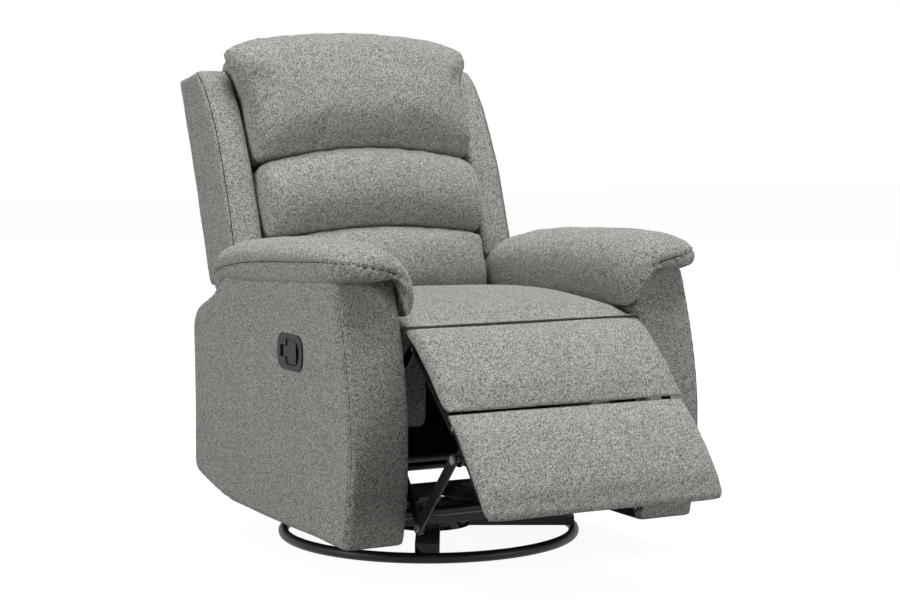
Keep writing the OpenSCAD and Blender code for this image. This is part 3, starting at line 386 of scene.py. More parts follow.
def math_node(tree, operation, a, b):
    made = tree.nodes.new("ShaderNodeMath")
    made.operation = operation
    for k, value in enumerate((a, b)):
        if isinstance(value, (int, float)):
            made.inputs[k].default_value = value
        else:
            tree.links.new(value, made.inputs[k])
    return made.outputs[0]


def add_bump(tree, height, shader, strength, distance):
    lift = node(tree, "ShaderNodeBump", Strength=strength, Distance=distance)
    tree.links.new(height, lift.inputs["Height"])
    tree.links.new(lift.outputs[0], shader.inputs["Normal"])


def zone(tree, place, limits):
    """1 where the place lies inside a box. Its limits are the largest |X|, the Y range and the highest Z."""
    wide, y0, y1, high = limits
    split = tree.nodes.new("ShaderNodeSeparateXYZ")
    tree.links.new(place, split.inputs[0])
    inside = math_node(tree, "LESS_THAN", math_node(tree, "ABSOLUTE", split.outputs[0], 0.0), wide)
    for test, axis, limit in (("GREATER_THAN", 1, y0), ("LESS_THAN", 1, y1), ("LESS_THAN", 2, high)):
        inside = math_node(tree, "MULTIPLY", inside, math_node(tree, test, split.outputs[axis], limit))
    return inside


def mix_colours(tree, share, first, second, blend="MIX"):
    mix = node(tree, "ShaderNodeMix", data_type="RGBA", blend_type=blend)
    for socket, value in ((0, share), (6, first), (7, second)):
        if isinstance(value, bpy.types.NodeSocket):
            tree.links.new(value, mix.inputs[socket])
        else:
            mix.inputs[socket].default_value = value
    return mix.outputs[2]


# The cloth's flecks: how they lie, cells per metre, and how long they are for their width
FLECK_TURNS = [(0.0, -0.615, 0.785), (0.0, -0.615, -0.785)]
FLECK_SCALES = (760.0, 660.0)
FLECK_STRETCH = 1.9
FUZZ_SCALE = 760.0
MOTTLE_SCALE = 9.0


def fleck_layer(tree, place, turn, scale):
    """Random tones in short flecks that lie along one diagonal of the cloth."""
    lay = node(tree, "ShaderNodeMapping", vector_type="TEXTURE")
    lay.inputs["Rotation"].default_value = turn
    lay.inputs["Scale"].default_value = (FLECK_STRETCH, 1.0, 1.0)
    tree.links.new(place, lay.inputs["Vector"])
    cells = node(tree, "ShaderNodeTexVoronoi", Scale=scale, Randomness=0.9)
    tree.links.new(lay.outputs[0], cells.inputs["Vector"])
    split = tree.nodes.new("ShaderNodeSeparateColor")
    tree.links.new(cells.outputs["Color"], split.inputs[0])
    return split.outputs[0], cells.outputs["Distance"]


def fabric_material(name, light, mid, dark, bump=0.3, lining_and_shade=None):
    """Heathered twill: short flecks of yarn along both diagonals, with broad soft mottling."""
    mat, tree, shader = material(name)
    place = node(tree, "ShaderNodeTexCoord").outputs["Object"]
    first, first_height = fleck_layer(tree, place, FLECK_TURNS[0], FLECK_SCALES[0])
    second, second_height = fleck_layer(tree, place, FLECK_TURNS[1], FLECK_SCALES[1])
    fuzz = node(tree, "ShaderNodeTexNoise", Scale=FUZZ_SCALE, Detail=3.0, Roughness=0.7)
    tree.links.new(place, fuzz.inputs["Vector"])
    first_part = math_node(tree, "MULTIPLY", first, 0.38)
    second_part = math_node(tree, "MULTIPLY", second, 0.34)
    tone = math_node(tree, "ADD", first_part, second_part)
    tone = math_node(tree, "ADD", tone, math_node(tree, "MULTIPLY", fuzz.outputs[0], 0.28))
    shade = ramp(tree, tone, [(0.24, dark), (0.5, mid), (0.76, light)])
    broad = node(tree, "ShaderNodeTexNoise", Scale=MOTTLE_SCALE, Detail=3.0)
    tree.links.new(place, broad.inputs["Vector"])
    tint = ramp(tree, broad.outputs[0], [(0.3, (0.95, 0.95, 0.95)), (0.7, (1.0, 1.0, 1.0))])
    colour = mix_colours(tree, 1.0, shade, tint, "MULTIPLY")
    # Painted shade: inside the box the cloth turns near-black, a black lining that also darkens the space
    # under the seat.
    if lining_and_shade:
        colour = mix_colours(tree, zone(tree, place, lining_and_shade), colour, (0.008, 0.008, 0.008, 1))
    tree.links.new(colour, shader.inputs["Base Color"])
    shader.inputs["Roughness"].default_value = 0.95
    shader.inputs["Sheen Weight"].default_value = 0.05
    shader.inputs["Sheen Roughness"].default_value = 0.6
    shader.inputs["Specular IOR Level"].default_value = 0.1
    height = math_node(tree, "MULTIPLY", math_node(tree, "MINIMUM", first_height, second_height), -1.2)
    height = math_node(tree, "ADD", height, math_node(tree, "MULTIPLY", fuzz.outputs[0], 0.5))
    add_bump(tree, height, shader, bump, 0.001)
    return mat


def painted_steel(name, shade, rough):
    """Powder coat: fine orange peel and slightly uneven gloss."""
    mat, tree, shader = material(name)
    place = node(tree, "ShaderNodeTexCoord").outputs["Object"]
    peel = node(tree, "ShaderNodeTexNoise", Scale=900.0, Detail=2.0)
    tree.links.new(place, peel.inputs["Vector"])
    wear = node(tree, "ShaderNodeTexNoise", Scale=25.0, Detail=5.0)
    tree.links.new(place, wear.inputs["Vector"])
    colour = ramp(tree, wear.outputs[0], [(0.35, shade), (0.75, tuple(1.6 * c for c in shade))])
    tree.links.new(colour, shader.inputs["Base Color"])
    gloss = math_node(tree, "ADD", math_node(tree, "MULTIPLY", wear.outputs[0], 0.2), rough - 0.1)
    tree.links.new(gloss, shader.inputs["Roughness"])
    shader.inputs["Specular IOR Level"].default_value = 0.28
    add_bump(tree, peel.outputs[0], shader, 0.08, 0.0004)
    return mat


def bare_steel(name, shade, rough):
    """Zinc-plated steel with a faint spangle in its tone and gloss."""
    mat, tree, shader = material(name)
    place = node(tree, "ShaderNodeTexCoord").outputs["Object"]
    spangle = node(tree, "ShaderNodeTexVoronoi", Scale=240.0)
    tree.links.new(place, spangle.inputs["Vector"])
    split = tree.nodes.new("ShaderNodeSeparateColor")
    tree.links.new(spangle.outputs["Color"], split.inputs[0])
    colour = ramp(tree, split.outputs[0], [(0.0, tuple(0.85 * c for c in shade)), (1.0, shade)])
    tree.links.new(colour, shader.inputs["Base Color"])
    shader.inputs["Metallic"].default_value = 1.0
    gloss = math_node(tree, "ADD", math_node(tree, "MULTIPLY", split.outputs[1], 0.12), rough)
    tree.links.new(gloss, shader.inputs["Roughness"])
    return mat


def moulded_plastic(name, shade, face_x=None):
    """Spark-eroded grain of moulded plastic. What lies past face_x, inside the recess, is painted near-black
    as the recess's shade.
    """
    mat, tree, shader = material(name)
    place = node(tree, "ShaderNodeTexCoord").outputs["Object"]
    grain = node(tree, "ShaderNodeTexVoronoi", Scale=1500.0)
    tree.links.new(place, grain.inputs["Vector"])
    cloud = node(tree, "ShaderNodeTexNoise", Scale=70.0, Detail=4.0)
    tree.links.new(place, cloud.inputs["Vector"])
    darker, lighter = tuple(0.88 * c for c in shade), tuple(1.1 * c for c in shade)
    colour = ramp(tree, cloud.outputs[0], [(0.3, darker), (0.7, lighter)])
    if face_x:
        split = tree.nodes.new("ShaderNodeSeparateXYZ")
        tree.links.new(place, split.inputs[0])
        # Painted shade: past face_x the colour turns near-black, standing in for the shade inside the
        # recess.
        deep = math_node(tree, "GREATER_THAN", split.outputs[0], face_x)
        colour = mix_colours(tree, deep, colour, (0.003, 0.003, 0.003, 1))
    tree.links.new(colour, shader.inputs["Base Color"])
    shader.inputs["Roughness"].default_value = 0.55
    shader.inputs["Specular IOR Level"].default_value = 0.3
    add_bump(tree, grain.outputs["Distance"], shader, 0.12, 0.0003)
    return mat


def plywood(name, light, dark):
    """Grain runs along X, with darker growth bands."""
    mat, tree, shader = material(name)
    place = node(tree, "ShaderNodeTexCoord").outputs["Object"]
    stretch = node(tree, "ShaderNodeMapping")
    stretch.inputs["Scale"].default_value = (3.0, 60.0, 60.0)
    tree.links.new(place, stretch.inputs["Vector"])
    grain = node(tree, "ShaderNodeTexNoise", Scale=2.0, Detail=6.0, Distortion=0.6)
    tree.links.new(stretch.outputs[0], grain.inputs["Vector"])
    colour = ramp(tree, grain.outputs[0], [(0.3, dark), (0.65, light)])
    tree.links.new(colour, shader.inputs["Base Color"])
    shader.inputs["Roughness"].default_value = 0.7
    add_bump(tree, grain.outputs[0], shader, 0.15, 0.0005)
    return mat


# Where the inside of the arms and of the rear panel is lined in black, a black that is also painted shade
# under the seat: largest |X|, Y range, highest Z
LINING_AND_SHADE = (0.2690, -0.405, 0.356, 0.45)
CLOTH_TONES = ((0.61, 0.607, 0.572), (0.322, 0.319, 0.297), (0.085, 0.082, 0.075))

heather = fabric_material("heather_cloth", *CLOTH_TONES)
lined_shaded_heather = fabric_material("lined_shaded_heather_cloth", *CLOTH_TONES, lining_and_shade=LINING_AND_SHADE)
thread = fabric_material("thread", (0.34, 0.34, 0.32), (0.25, 0.25, 0.23), (0.17, 0.17, 0.155), bump=0.1)
# Painted shade: a near-black cloth for the cords that darken the seams' creases.
painted_seam_shade = fabric_material("painted_seam_shade", (0.05, 0.05, 0.047), (0.03, 0.03, 0.028), (0.018, 0.018, 0.017),
                              bump=0.1)
# Black dust-cover cloth, made near-black also as painted shade under the seat.
dust_cover_and_shade = fabric_material("black_dust_cover_and_shade", (0.012, 0.012, 0.012), (0.008, 0.008, 0.008),
                          (0.005, 0.005, 0.005))
black_steel = painted_steel("black_powder_coat", (0.0065, 0.0065, 0.0068), 0.44)
bright_steel = bare_steel("zinc_plate", (0.52, 0.53, 0.55), 0.32)
spring_steel = bare_steel("spring_steel", (0.16, 0.16, 0.17), 0.45)
dark_plastic = moulded_plastic("dark_plastic", (0.042, 0.040, 0.039))
# Painted shade: past X = -0.3935 the handle's plastic is near-black, as the shade inside its recess.
handle_plastic = moulded_plastic("handle_plastic", (0.012, 0.0115, 0.011), -0.3935)
wood = plywood("plywood", (0.52, 0.36, 0.20), (0.33, 0.20, 0.10))


def dress(obj, mat):
    obj.data.materials.clear()
    obj.data.materials.append(mat)


def paint_node(name, mat):
    for mat_slot in nodes[name].material_slots:
        mat_slot.material = mat


def finish_piece(obj, body, mat=None, stands_for=()):
    """The lines that every piece needs: its material, its body and what it stands for."""
    dress(obj, mat or heather)
    shade_smooth(obj)
    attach(obj, body)
    if stands_for:
        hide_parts(*stands_for)
    return obj


def cushion(name, source, room, lean=0.0, inset=0.003, smooth_steps=5, taper=0.0):
    """A stuffed piece: a CAD form, evened out, swollen as cloth under pressure and subdivided."""
    obj = source if isinstance(source, bpy.types.Object) else copy_of(name, *source)
    even_mesh(obj, FINE_VOXEL, smooth_steps)
    shrink(obj, inset)
    inflate(obj, CUSHION_PRESSURE, room, lean, taper)
    subdivide(obj)
    return obj


# Back
def on_back(x, y, z):
    """A place given in the back's own axes, Y to the rear and Z up along the back, in the row frame."""
    c, s = math.cos(BACK_LEAN), math.sin(BACK_LEAN)
    return (x, BACK_HINGE[0] + y * c - z * s, BACK_HINGE[1] + y * s + z * c)


# Where the headrest's gathers start on its +X side, in the back's own axes
HEAD_SIDE_PATH = [(0.262, -0.060, 0.420), (0.266, -0.075, 0.470), (0.270, -0.070, 0.530),
                  (0.276, -0.055, 0.590), (0.286, -0.030, 0.640), (0.284, 0.000, 0.672)]


def lifted(obj, start, end, lift, side_lift, half_width, widen=0.0):
    """Draws the piece up along the back, more and more from start to end, by lift in the middle and
    side_lift at its sides, and widens it there by the share widen."""
    points = coords(obj)
    c, s = math.cos(BACK_LEAN), math.sin(BACK_LEAN)
    along = -(points[:, 1] - BACK_HINGE[0]) * s + (points[:, 2] - BACK_HINGE[1]) * c
    t = np.clip((along - start) / (end - start), 0, 1)
    aside = np.clip(np.abs(points[:, 0]) / half_width, 0, 1) ** 2
    rise = t * t * (3 - 2 * t) * (lift + (side_lift - lift) * aside)
    points[:, 0] *= 1 + widen * t
    points[:, 1] -= rise * s
    points[:, 2] += rise * c
    set_coords(obj, points)


# How far the cloth may move down and up each of a cushion's own axes
LOBE_ROOM = [(-0.003, 0.003), (-0.012, 0.003), (-0.003, 0.003)]
HEADREST_ROOM = [(-0.005, 0.005), (-0.012, 0.006), (-0.003, 0.006)]
CUSHIONS = [("headrest", "headrest_lobe", HEADREST_ROOM), ("middle_roll", "middle_lobe", LOBE_ROOM),
            ("lumbar_roll", "lumbar_lobe", LOBE_ROOM)]

# How ends are drawn along the back: from, to, how far in the middle and at the sides, and half the width
HEADREST_TOP = (0.560, 0.680, 0.0065, 0.003, 0.25)
HEADREST_WIDEN = 0.028
HEAD_GATHERS = {"reach": 0.070, "depth": 0.0055, "pitch": 0.014, "lean": -0.6}
WING_TOP = (0.560, 0.660, 0.009, 0.009, 0.30)
REAR_COVER_FOOT = (0.012, -0.020, -0.044, -0.044, 0.25)


def build_back():
    for name, node_name, room in CUSHIONS:
        piece = cushion(name, (node_name,), room, BACK_LEAN)
        if name == "headrest":
            lifted(piece, *HEADREST_TOP, widen=HEADREST_WIDEN)
            for side in (-1, 1):
                path, _ = laid_on(piece, [on_back(side * x, y, z) for x, y, z in HEAD_SIDE_PATH])
                gathers(piece, path, seed=11 + side, **HEAD_GATHERS)
        ripple(piece, height=0.0016, size=0.16, seed=3)
        finish_piece(piece, "back", stands_for=(node_name,))


# The seam along the +X wing's outer side, in the back's own axes
WING_SEAM = [(0.341, -0.019, 0.186), (0.341, -0.026, 0.290), (0.341, -0.026, 0.380), (0.341, -0.020, 0.470),
             (0.341, -0.004, 0.555), (0.341, 0.014, 0.605), (0.341, 0.036, 0.640)]


def build_wings():
    for side, word in ((1, "left"), (-1, "right")):
        piece = copy_of(f"side_wing_{word}", f"wing_{word}")
        even_mesh(piece, voxel=0.005, smooth_steps=4)
        shrink(piece, depth=-0.0015)
        lifted(piece, *WING_TOP)
        ripple(piece, height=0.0012, size=0.12, seed=5 + side)
        seam = [on_back(side * x, y, z) for x, y, z in WING_SEAM]
        path, _ = laid_on(piece, seam)
        cord_track, stitch_track = tracks_on(piece, seam)
        groove(piece, path, width=0.0028, depth=0.0022)
        finish_piece(piece, "back", stands_for=(f"wing_{word}",))
        rows = stitch_row(f"wing_stitches_{word}", piece, stitch_track, shift=0.006 * side)
        finish_piece(rows, "back", mat=thread)
        # Painted shade: a near-black cord darkens the wing seam's crease.
        cord = seam_shade_line(f"wing_seam_{word}", piece, cord_track)
        finish_piece(cord, "back", mat=painted_seam_shade)


def build_back_panel():
    piece = copy_of("rear_cover", "back_panel")
    even_mesh(piece, PLAIN_VOXEL, smooth_steps=8)
    lifted(piece, *REAR_COVER_FOOT)
    ripple(piece, height=0.0015, size=0.25, seed=8)
    finish_piece(piece, "back", stands_for=("back_panel",))


# Arms. In side view an arm's front bows forward between foot and head, and its underside rises to the rear.
ARM_INNER_X = 0.2665
ARM_OUTER_X = 0.395
ARM_BOTTOM_Z = 0.074
ARM_TOP_Z = 0.556
ARM_FRONT_TOP_Z = 0.588
ARM_FOOT_Y = 0.423
ARM_HEAD_Y = 0.390
ARM_BOW = 0.042
ARM_RISE_Y = 0.080
ARM_RISE_RUN = 0.277
ARM_RISE = 0.038
ARM_REAR = [(0.370, 0.125), (0.370, 0.425), (0.367, 0.444), (0.359, 0.461), (0.346, 0.475), (0.325, 0.485),
            (0.298, 0.496), (0.253, 0.514), (0.190, 0.556)]


def bow(z):
    t = (z - ARM_BOTTOM_Z) / (ARM_TOP_Z - ARM_BOTTOM_Z)
    return -(ARM_FOOT_Y + (ARM_HEAD_Y - ARM_FOOT_Y) * t) - ARM_BOW * 4 * t * (1 - t)


def arm_outline():
    front = [(bow(z), z) for z in np.linspace(ARM_FRONT_TOP_Z, ARM_BOTTOM_Z, 16)]
    rise = [(ARM_RISE_Y + s * ARM_RISE_RUN, ARM_BOTTOM_Z + ARM_RISE * s * s) for s in np.linspace(0, 1, 7)]
    return front + rise + ARM_REAR


def prism(name, outline, x0, x1):
    """A closed solid of a side-view outline, between two places across the chair."""
    count = len(outline)
    verts = [(x, y, z) for x in (x0, x1) for y, z in outline]
    faces = [tuple(range(count)), tuple(range(2 * count - 1, count - 1, -1))]
    faces += [(k, k + count, (k + 1) % count + count, (k + 1) % count) for k in range(count)]
    return object_from(name, verts, faces)


# Centre, length and height of the handle's surround, what share of it the cloth is open for, and how deep
HANDLE = (-0.173, 0.4315, 0.121, 0.073)
HANDLE_SHARE = 0.45
HANDLE_DEPTH_X = -0.38


def open_for_handle(obj):
    """Removes the cloth behind the handle's surround, so that the recess stays open."""
    y, z, length, height = HANDLE
    bm = bmesh.new()
    bm.from_mesh(obj.data)
    inside = []
    for face in bm.faces:
        centre = face.calc_center_median()
        across, up = (centre.y - y) / (HANDLE_SHARE * length), (centre.z - z) / (HANDLE_SHARE * height)
        if centre.x < HANDLE_DEPTH_X and across ** 2 + up ** 2 < 1:
            inside.append(face)
    bmesh.ops.delete(bm, geom=inside, context="FACES")
    bm.to_mesh(obj.data)
    bm.free()


def build_arms():
    for side, word in ((1, "left"), (-1, "right")):
        piece = prism(f"arm_cover_{word}", arm_outline(), side * ARM_INNER_X, side * ARM_OUTER_X)
        face_outward(piece)
        even_mesh(piece, FINE_VOXEL, smooth_steps=10)
        ripple(piece, height=0.0018, size=0.22, seed=20 + side)
        corner = [(side * (ARM_OUTER_X - 0.001), bow(z) + 0.003, z) for z in np.linspace(0.095, 0.55, 9)]
        path, _ = laid_on(piece, corner)
        cord_track, stitch_track = tracks_on(piece, corner)
        groove(piece, path, width=0.003, depth=0.0025)
        if side < 0:
            open_for_handle(piece)
        stands_for = [f"arm_{part}_panel_{word}" for part in ("outer", "front", "inner")]
        # Painted shade: below the seat the cover's inner face is near-black, a black lining that also
        # darkens the space there.
        finish_piece(piece, "chair", mat=lined_shaded_heather, stands_for=stands_for)
        rows = stitch_row(f"arm_corner_stitches_{word}", piece, stitch_track, shift=0.0055)
        finish_piece(rows, "chair", mat=thread)
        # Painted shade: a near-black cord darkens the arm's corner seam.
        cord = seam_shade_line(f"arm_corner_seam_{word}", piece, cord_track, radius=0.0005)
        finish_piece(cord, "chair", mat=painted_seam_shade)


# Stations of an arm pad from rear to front: Y, inner and outer X, top and underside, then the foot and depth
# of the drape on its inner side
PAD_STATIONS = [
    (0.262, 0.272, 0.370, 0.576, 0.506, 0.500, 0.018), (0.250, 0.258, 0.393, 0.594, 0.507, 0.498, 0.018),
    (0.222, 0.253, 0.408, 0.610, 0.522, 0.496, 0.018), (0.188, 0.251, 0.415, 0.622, 0.546, 0.496, 0.018),
    (0.100, 0.250, 0.417, 0.638, 0.554, 0.500, 0.018), (0.000, 0.250, 0.417, 0.648, 0.561, 0.504, 0.018),
    (-0.150, 0.249, 0.417, 0.656, 0.570, 0.508, 0.018), (-0.280, 0.247, 0.417, 0.660, 0.578, 0.509, 0.018),
    (-0.350, 0.245, 0.415, 0.658, 0.583, 0.506, 0.018), (-0.395, 0.245, 0.410, 0.652, 0.586, 0.508, 0.018),
    (-0.424, 0.248, 0.400, 0.643, 0.588, 0.520, 0.020), (-0.442, 0.257, 0.387, 0.631, 0.590, 0.552, 0.022),
    (-0.453, 0.274, 0.364, 0.614, 0.590, 0.582, 0.022)
]


def pad_section(inner, outer, top, under, foot, drape):
    """A pad's outline across the arm, as X and Z, from the outer underside over the top to the drape."""
    high = top - under
    drop = top - min(under, ARM_TOP_Z)
    wide = outer - inner
    return [
        (outer - 0.026, under), (outer - 0.012, under + 0.03 * high), (outer - 0.004, under + 0.22 * high),
        (outer, under + 0.56 * high), (outer - 0.008, under + 0.74 * high),
        (outer - 0.2 * wide, top - 0.07 * high), (inner + 0.5 * wide, top),
        (inner + 0.25 * wide, top - 0.14 * drop), (inner + 0.08 * wide, top - 0.42 * drop),
        (inner, top - 0.80 * drop), (inner - 0.001, foot + 0.3 * (under - foot)), (inner + 0.005, foot),
        (inner + drape - 0.004, foot + 0.004), (inner + drape, under - 0.001),
        (inner + 0.5 * wide, under - 0.001)
    ]


def closed_curve(points, steps=3):
    p = np.array(points, float)
    out = []
    for k in range(len(p)):
        a, b, c, d = p[k - 1], p[k], p[(k + 1) % len(p)], p[(k + 2) % len(p)]
        for t in np.linspace(0, 1, steps, endpoint=False):
            out.append(catmull_rom(a, b, c, d, t))
    return out


def loft(name, rings):
    """A closed solid through rings of points, with a fan at each end."""
    count = len(rings[0])
    verts = [v for ring in rings for v in ring]
    faces = []
    for i in range(len(rings) - 1):
        for k in range(count):
            a, b = i * count + k, i * count + (k + 1) % count
            faces.append((a, b, b + count, a + count))
    for ring, flip in ((0, True), (len(rings) - 1, False)):
        centre = len(verts)
        verts.append(np.mean(rings[ring], axis=0))
        for k in range(count):
            a, b = ring * count + k, ring * count + (k + 1) % count
            faces.append((b, a, centre) if flip else (a, b, centre))
    obj = object_from(name, verts, faces)
    face_outward(obj)
    return obj


# The topstitched seam between a pad's top and its band, from the rear round the front to the inner drape
PAD_SEAM = [(0.374, 0.250, 0.545), (0.406, 0.200, 0.568), (0.414, 0.090, 0.588), (0.415, -0.020, 0.600),
            (0.415, -0.150, 0.609), (0.415, -0.280, 0.617), (0.410, -0.365, 0.623), (0.396, -0.412, 0.623),
            (0.366, -0.440, 0.619), (0.330, -0.450, 0.612), (0.296, -0.446, 0.603), (0.270, -0.432, 0.588),
            (0.256, -0.410, 0.566), (0.252, -0.392, 0.538)]

# The folds beside that seam: shallow along the side, for the first share of its length, deep at the front
PAD_FRONT_GATHERS = {"reach": 0.085, "depth": 0.0046, "pitch": 0.016, "lean": 0.35}
PAD_SIDE_GATHERS = {"reach": 0.035, "depth": 0.0022, "pitch": 0.024, "lean": 0.6}
PAD_SIDE_SHARE = 0.55
PAD_ROOM = [(-0.004, 0.004), (-0.004, 0.004), (-0.003, 0.0035)]


def build_pads():
    for side, word in ((1, "left"), (-1, "right")):
        rings = []
        for y, *sizes in PAD_STATIONS:
            rings.append([(side * x, y, z) for x, z in closed_curve(pad_section(*sizes))])
        name = f"arm_pad_cover_{word}"
        piece = cushion(name, loft(name, rings), PAD_ROOM, inset=0.002)
        seam = [(side * x, y, z) for x, y, z in PAD_SEAM]
        path, _ = laid_on(piece, seam)
        cord_track, stitch_track = tracks_on(piece, seam)
        groove(piece, path, width=0.003, depth=0.003)
        turn = int(PAD_SIDE_SHARE * len(path))
        gathers(piece, path[turn:], seed=31 + side, **PAD_FRONT_GATHERS)
        gathers(piece, path[:turn], seed=33 + side, **PAD_SIDE_GATHERS)
        ripple(piece, height=0.0015, size=0.11, seed=35 + side)
        finish_piece(piece, "chair", stands_for=(f"arm_pad_{word}",))
        # Painted shade: a near-black cord darkens the pad seam's crease.
        cord = seam_shade_line(f"arm_pad_seam_{word}", piece, cord_track)
        finish_piece(cord, "chair", mat=painted_seam_shade)
        for number, shift in enumerate((0.0045, -0.0045)):
            rows = stitch_row(f"arm_pad_stitches_{word}_{number}", piece, stitch_track, shift=shift)
            finish_piece(rows, "chair", mat=thread)


# The cloth that closes the gap between seat and back: its outline in side view, and half its width
SEAT_FLAP = [(0.116, 0.474), (0.127, 0.446), (0.150, 0.432), (0.205, 0.429), (0.255, 0.427), (0.262, 0.423),
             (0.255, 0.419), (0.200, 0.420), (0.140, 0.421), (0.108, 0.432)]
SEAT_FLAP_HALF = 0.236

# How the side rails' covers reach up to the cushion
RAIL_COVER_FROM = 0.370
RAIL_COVER_RUN = 0.045
RAIL_COVER_RISE = 0.036

SQUARE_REACH = 0.034
SQUARE_BIN = 0.003
SQUARE_MOST = 1.09


def square_corners(obj, lean, front=True, rear=True):
    """Fills out the corners beside a sewn joint, so that two cushions meet over their whole width."""
    points = coords(obj)
    c, s = math.cos(lean), math.sin(lean)
    along = points[:, 1] * c + points[:, 2] * s
    low, high = along.min(), along.max()
    wide = np.abs(points[:, 0])
    full = wide.max()
    bins = ((along - low) / SQUARE_BIN).astype(int)
    reach = np.zeros(bins.max() + 1)
    np.maximum.at(reach, bins, wide)
    grow = np.clip(full / np.maximum(reach, 0.5 * full), 1, SQUARE_MOST)
    centres = low + (np.arange(len(grow)) + 0.5) * SQUARE_BIN
    factor = np.interp(along, centres, grow)
    near = np.zeros(len(points), bool)
    if front:
        near |= along < low + SQUARE_REACH
    if rear:
        near |= along > high - SQUARE_REACH
    points[near, 0] *= factor[near]
    set_coords(obj, points)


SEAT_ROOM = [(-0.002, 0.002), (-0.0007, 0.0007), (-0.002, 0.009)]
LEG_ROOM = [(-0.001, 0.001), (-0.0007, 0.0007), (-0.002, 0.006)]


def build_seat():
    piece = cushion("seat_cover", ("seat_cushion",), SEAT_ROOM, inset=0.0025, taper=0.06)
    square_corners(piece, 0.0, rear=False)
    ripple(piece, height=0.0015, size=0.2, seed=41)
    finish_piece(piece, "seat", stands_for=("seat_cushion",))
    flap = prism("seat_rear_flap", SEAT_FLAP, -SEAT_FLAP_HALF, SEAT_FLAP_HALF)
    face_outward(flap)
    even_mesh(flap, voxel=0.004, smooth_steps=3)
    ripple(flap, height=0.0014, size=0.09, seed=43)
    finish_piece(flap, "seat")
    rails = copy_of("seat_side_covers", "seat_side_rails")
    even_mesh(rails, PLAIN_VOXEL, smooth_steps=5)
    points = coords(rails)
    points[:, 2] += RAIL_COVER_RISE * np.clip((points[:, 2] - RAIL_COVER_FROM) / RAIL_COVER_RUN, 0, 1)
    set_coords(rails, points)
    finish_piece(rails, "seat", stands_for=("seat_side_rails",))


def build_leg_rest():
    for name, node_name, body, lean in (("calf_pad", "chaise_pad", "upper_leg_rest", CHAISE_LEAN),
                                        ("foot_pad", "footrest_pad", "lower_leg_rest", FOOT_LEAN)):
        piece = cushion(name, (node_name,), LEG_ROOM, lean, inset=0.001, smooth_steps=3, taper=0.06)
        square_corners(piece, lean, front=name == "calf_pad")
        ripple(piece, height=0.0013, size=0.18, seed=51)
        finish_piece(piece, body, stands_for=(node_name,))


def build_rear_panel():
    piece = copy_of("rear_skirt", "rear_panel")
    even_mesh(piece, PLAIN_VOXEL, smooth_steps=6)
    ripple(piece, height=0.0012, size=0.2, seed=61)
    # Painted shade: the skirt's inner face is near-black, a black lining that also darkens the space under
    # the seat.
    finish_piece(piece, "chair", mat=lined_shaded_heather, stands_for=("rear_panel",))


# What each CAD node that shows as it is gets for its surface
BLACK_NODES = ["base_ring", "base_star", "glider_frame", "hanger_posts", "glider_links_front",
               "glider_links_rear", "carriage_rails", "cross_tubes", "base_plates", "seat_plates",
               "chaise_brackets", "footrest_brackets", "drive_links", "drive_tube", "ottoman_links",
               "back_brackets"]
BRIGHT_NODES = ["bearing_lower_plate", "bearing_upper_plate", "bearing_balls", "king_bolt",
                "upper_link_pins", "lower_link_pins", "base_plate_fasteners", "lever_pin", "lever_spring",
                "seat_rollers", "seat_pivot_pins", "fold_pins", "footrest_pins", "knee_pins"]
PLASTIC_NODES = ["ball_cage", "release_cable"]
WOOD_NODES = ["arm_frame_left", "arm_frame_right"]


def soften(name, width):
    """Rounds the edges of a CAD node with modifiers, its mesh unchanged."""
    obj = nodes[name]
    modify(obj, "WELD", merge_threshold=1e-5)
    modify(obj, "BEVEL", width=width, segments=2, limit_method="ANGLE", angle_limit=math.radians(35))


def dress_nodes():
    for name in BLACK_NODES:
        paint_node(name, black_steel)
        soften(name, 0.0006)
    for name in BRIGHT_NODES:
        paint_node(name, bright_steel)
    for name in PLASTIC_NODES:
        paint_node(name, dark_plastic)
    for name in WOOD_NODES:
        paint_node(name, wood)
    for name in ("chaise_board", "footrest_board"):
        paint_node(name, heather)
    # Painted shade: the seat's cross rails wear the near-black dust cover, which also darkens the space
    # under the seat.
    paint_node("seat_cross_rails", dust_cover_and_shade)
    for name in ("handle_bezel", "release_lever"):
        paint_node(name, handle_plastic)
    paint_node("seat_springs", spring_steel)
    paint_node("back_frame", heather)
    for name, width in (("handle_bezel", 0.0014), ("release_lever", 0.0012)):
        soften(name, width)


# Stage and light
FLOOR_SHADE = 0.22
FLOOR_GLOW = 0.94
FLOOR_REACH = 14.0
WORLD_LEVEL = 0.17
WORLD_SEEN = 0.83
# Name, place, what it points at, size and power of each lamp
LAMPS = [
    ("key", (0.6, -0.7, 6.2), (0, 0, 0.4), (3.6, 3.2), 332),
    ("side", (-3.4, -0.4, 1.1), (0, 0, 0.35), (1.6, 1.0), 47),
    ("rear", (1.4, 3.6, 2.2), (0, 0, 0.5), (2.0, 2.0), 26),
    ("fill", (2.0, -3.6, 0.75), (0.2, 0, 0.35), (1.6, 1.0), 37)
]


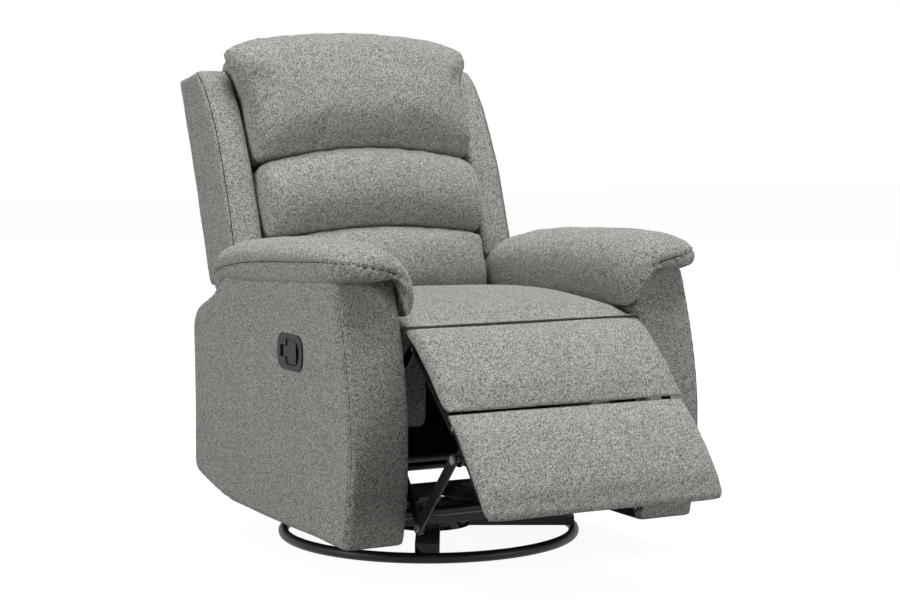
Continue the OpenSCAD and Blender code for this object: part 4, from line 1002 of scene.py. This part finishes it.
def build_stage():
    """A white floor. What the camera sees of it is nearly all its own glow, so only a soft shadow shows."""
    mat, tree, shader = material("floor")
    shader.inputs["Base Color"].default_value = (FLOOR_SHADE, FLOOR_SHADE, FLOOR_SHADE, 1)
    shader.inputs["Roughness"].default_value = 0.9
    shader.inputs["Specular IOR Level"].default_value = 0.0
    path = node(tree, "ShaderNodeLightPath")
    glow = node(tree, "ShaderNodeEmission")
    seen = math_node(tree, "MAXIMUM", path.outputs["Is Camera Ray"], path.outputs["Is Glossy Ray"])
    tree.links.new(math_node(tree, "MULTIPLY", seen, FLOOR_GLOW), glow.inputs["Strength"])
    both = node(tree, "ShaderNodeAddShader")
    tree.links.new(shader.outputs[0], both.inputs[0])
    tree.links.new(glow.outputs[0], both.inputs[1])
    tree.links.new(both.outputs[0], tree.nodes["Material Output"].inputs["Surface"])
    far = FLOOR_REACH
    corners = [(-far, -far, 0), (far, -far, 0), (far, far, 0), (-far, far, 0)]
    floor = object_from("floor", corners, [(0, 1, 2, 3)])
    dress(floor, mat)


def area_light(name, place, target, size, power):
    data = bpy.data.lights.new(name, "AREA")
    data.shape = "RECTANGLE"
    data.size, data.size_y = size
    data.energy = power
    lamp = link(bpy.data.objects.new(name, data))
    lamp.location = place
    lamp.rotation_euler = (Vector(target) - Vector(place)).to_track_quat("-Z", "Y").to_euler()


def build_light():
    world = bpy.data.worlds.new("world")
    scene.world = world
    world.use_nodes = True
    tree = world.node_tree
    background = tree.nodes["Background"]
    path = node(tree, "ShaderNodeLightPath")
    seen = math_node(tree, "MAXIMUM", path.outputs["Is Camera Ray"], path.outputs["Is Transmission Ray"])
    seen = math_node(tree, "MAXIMUM", seen, path.outputs["Is Glossy Ray"])
    level = math_node(tree, "ADD", math_node(tree, "MULTIPLY", seen, WORLD_SEEN), WORLD_LEVEL)
    tree.links.new(level, background.inputs["Strength"])
    background.inputs["Color"].default_value = (1, 1, 1, 1)
    for lamp in LAMPS:
        area_light(*lamp)


def build_camera():
    data = bpy.data.cameras.new("camera")
    data.sensor_width = 36.0
    data.lens = CAMERA_LENS_MM
    camera = link(bpy.data.objects.new("camera", data))
    a, e = math.radians(CAMERA_AZIMUTH), math.radians(CAMERA_PITCH)
    ahead = -Vector((math.sin(a) * math.cos(e), -math.cos(a) * math.cos(e), math.sin(e)))
    camera.location = CAMERA_PLACE
    camera.rotation_euler = ahead.to_track_quat("-Z", "Y").to_euler()
    scene.camera = camera


scene.view_settings.view_transform = "Standard"
build_camera()
build_stage()
build_light()
dress_nodes()
build_back()
build_wings()
build_back_panel()
build_arms()
build_pads()
build_seat()
build_leg_rest()
build_rear_panel()
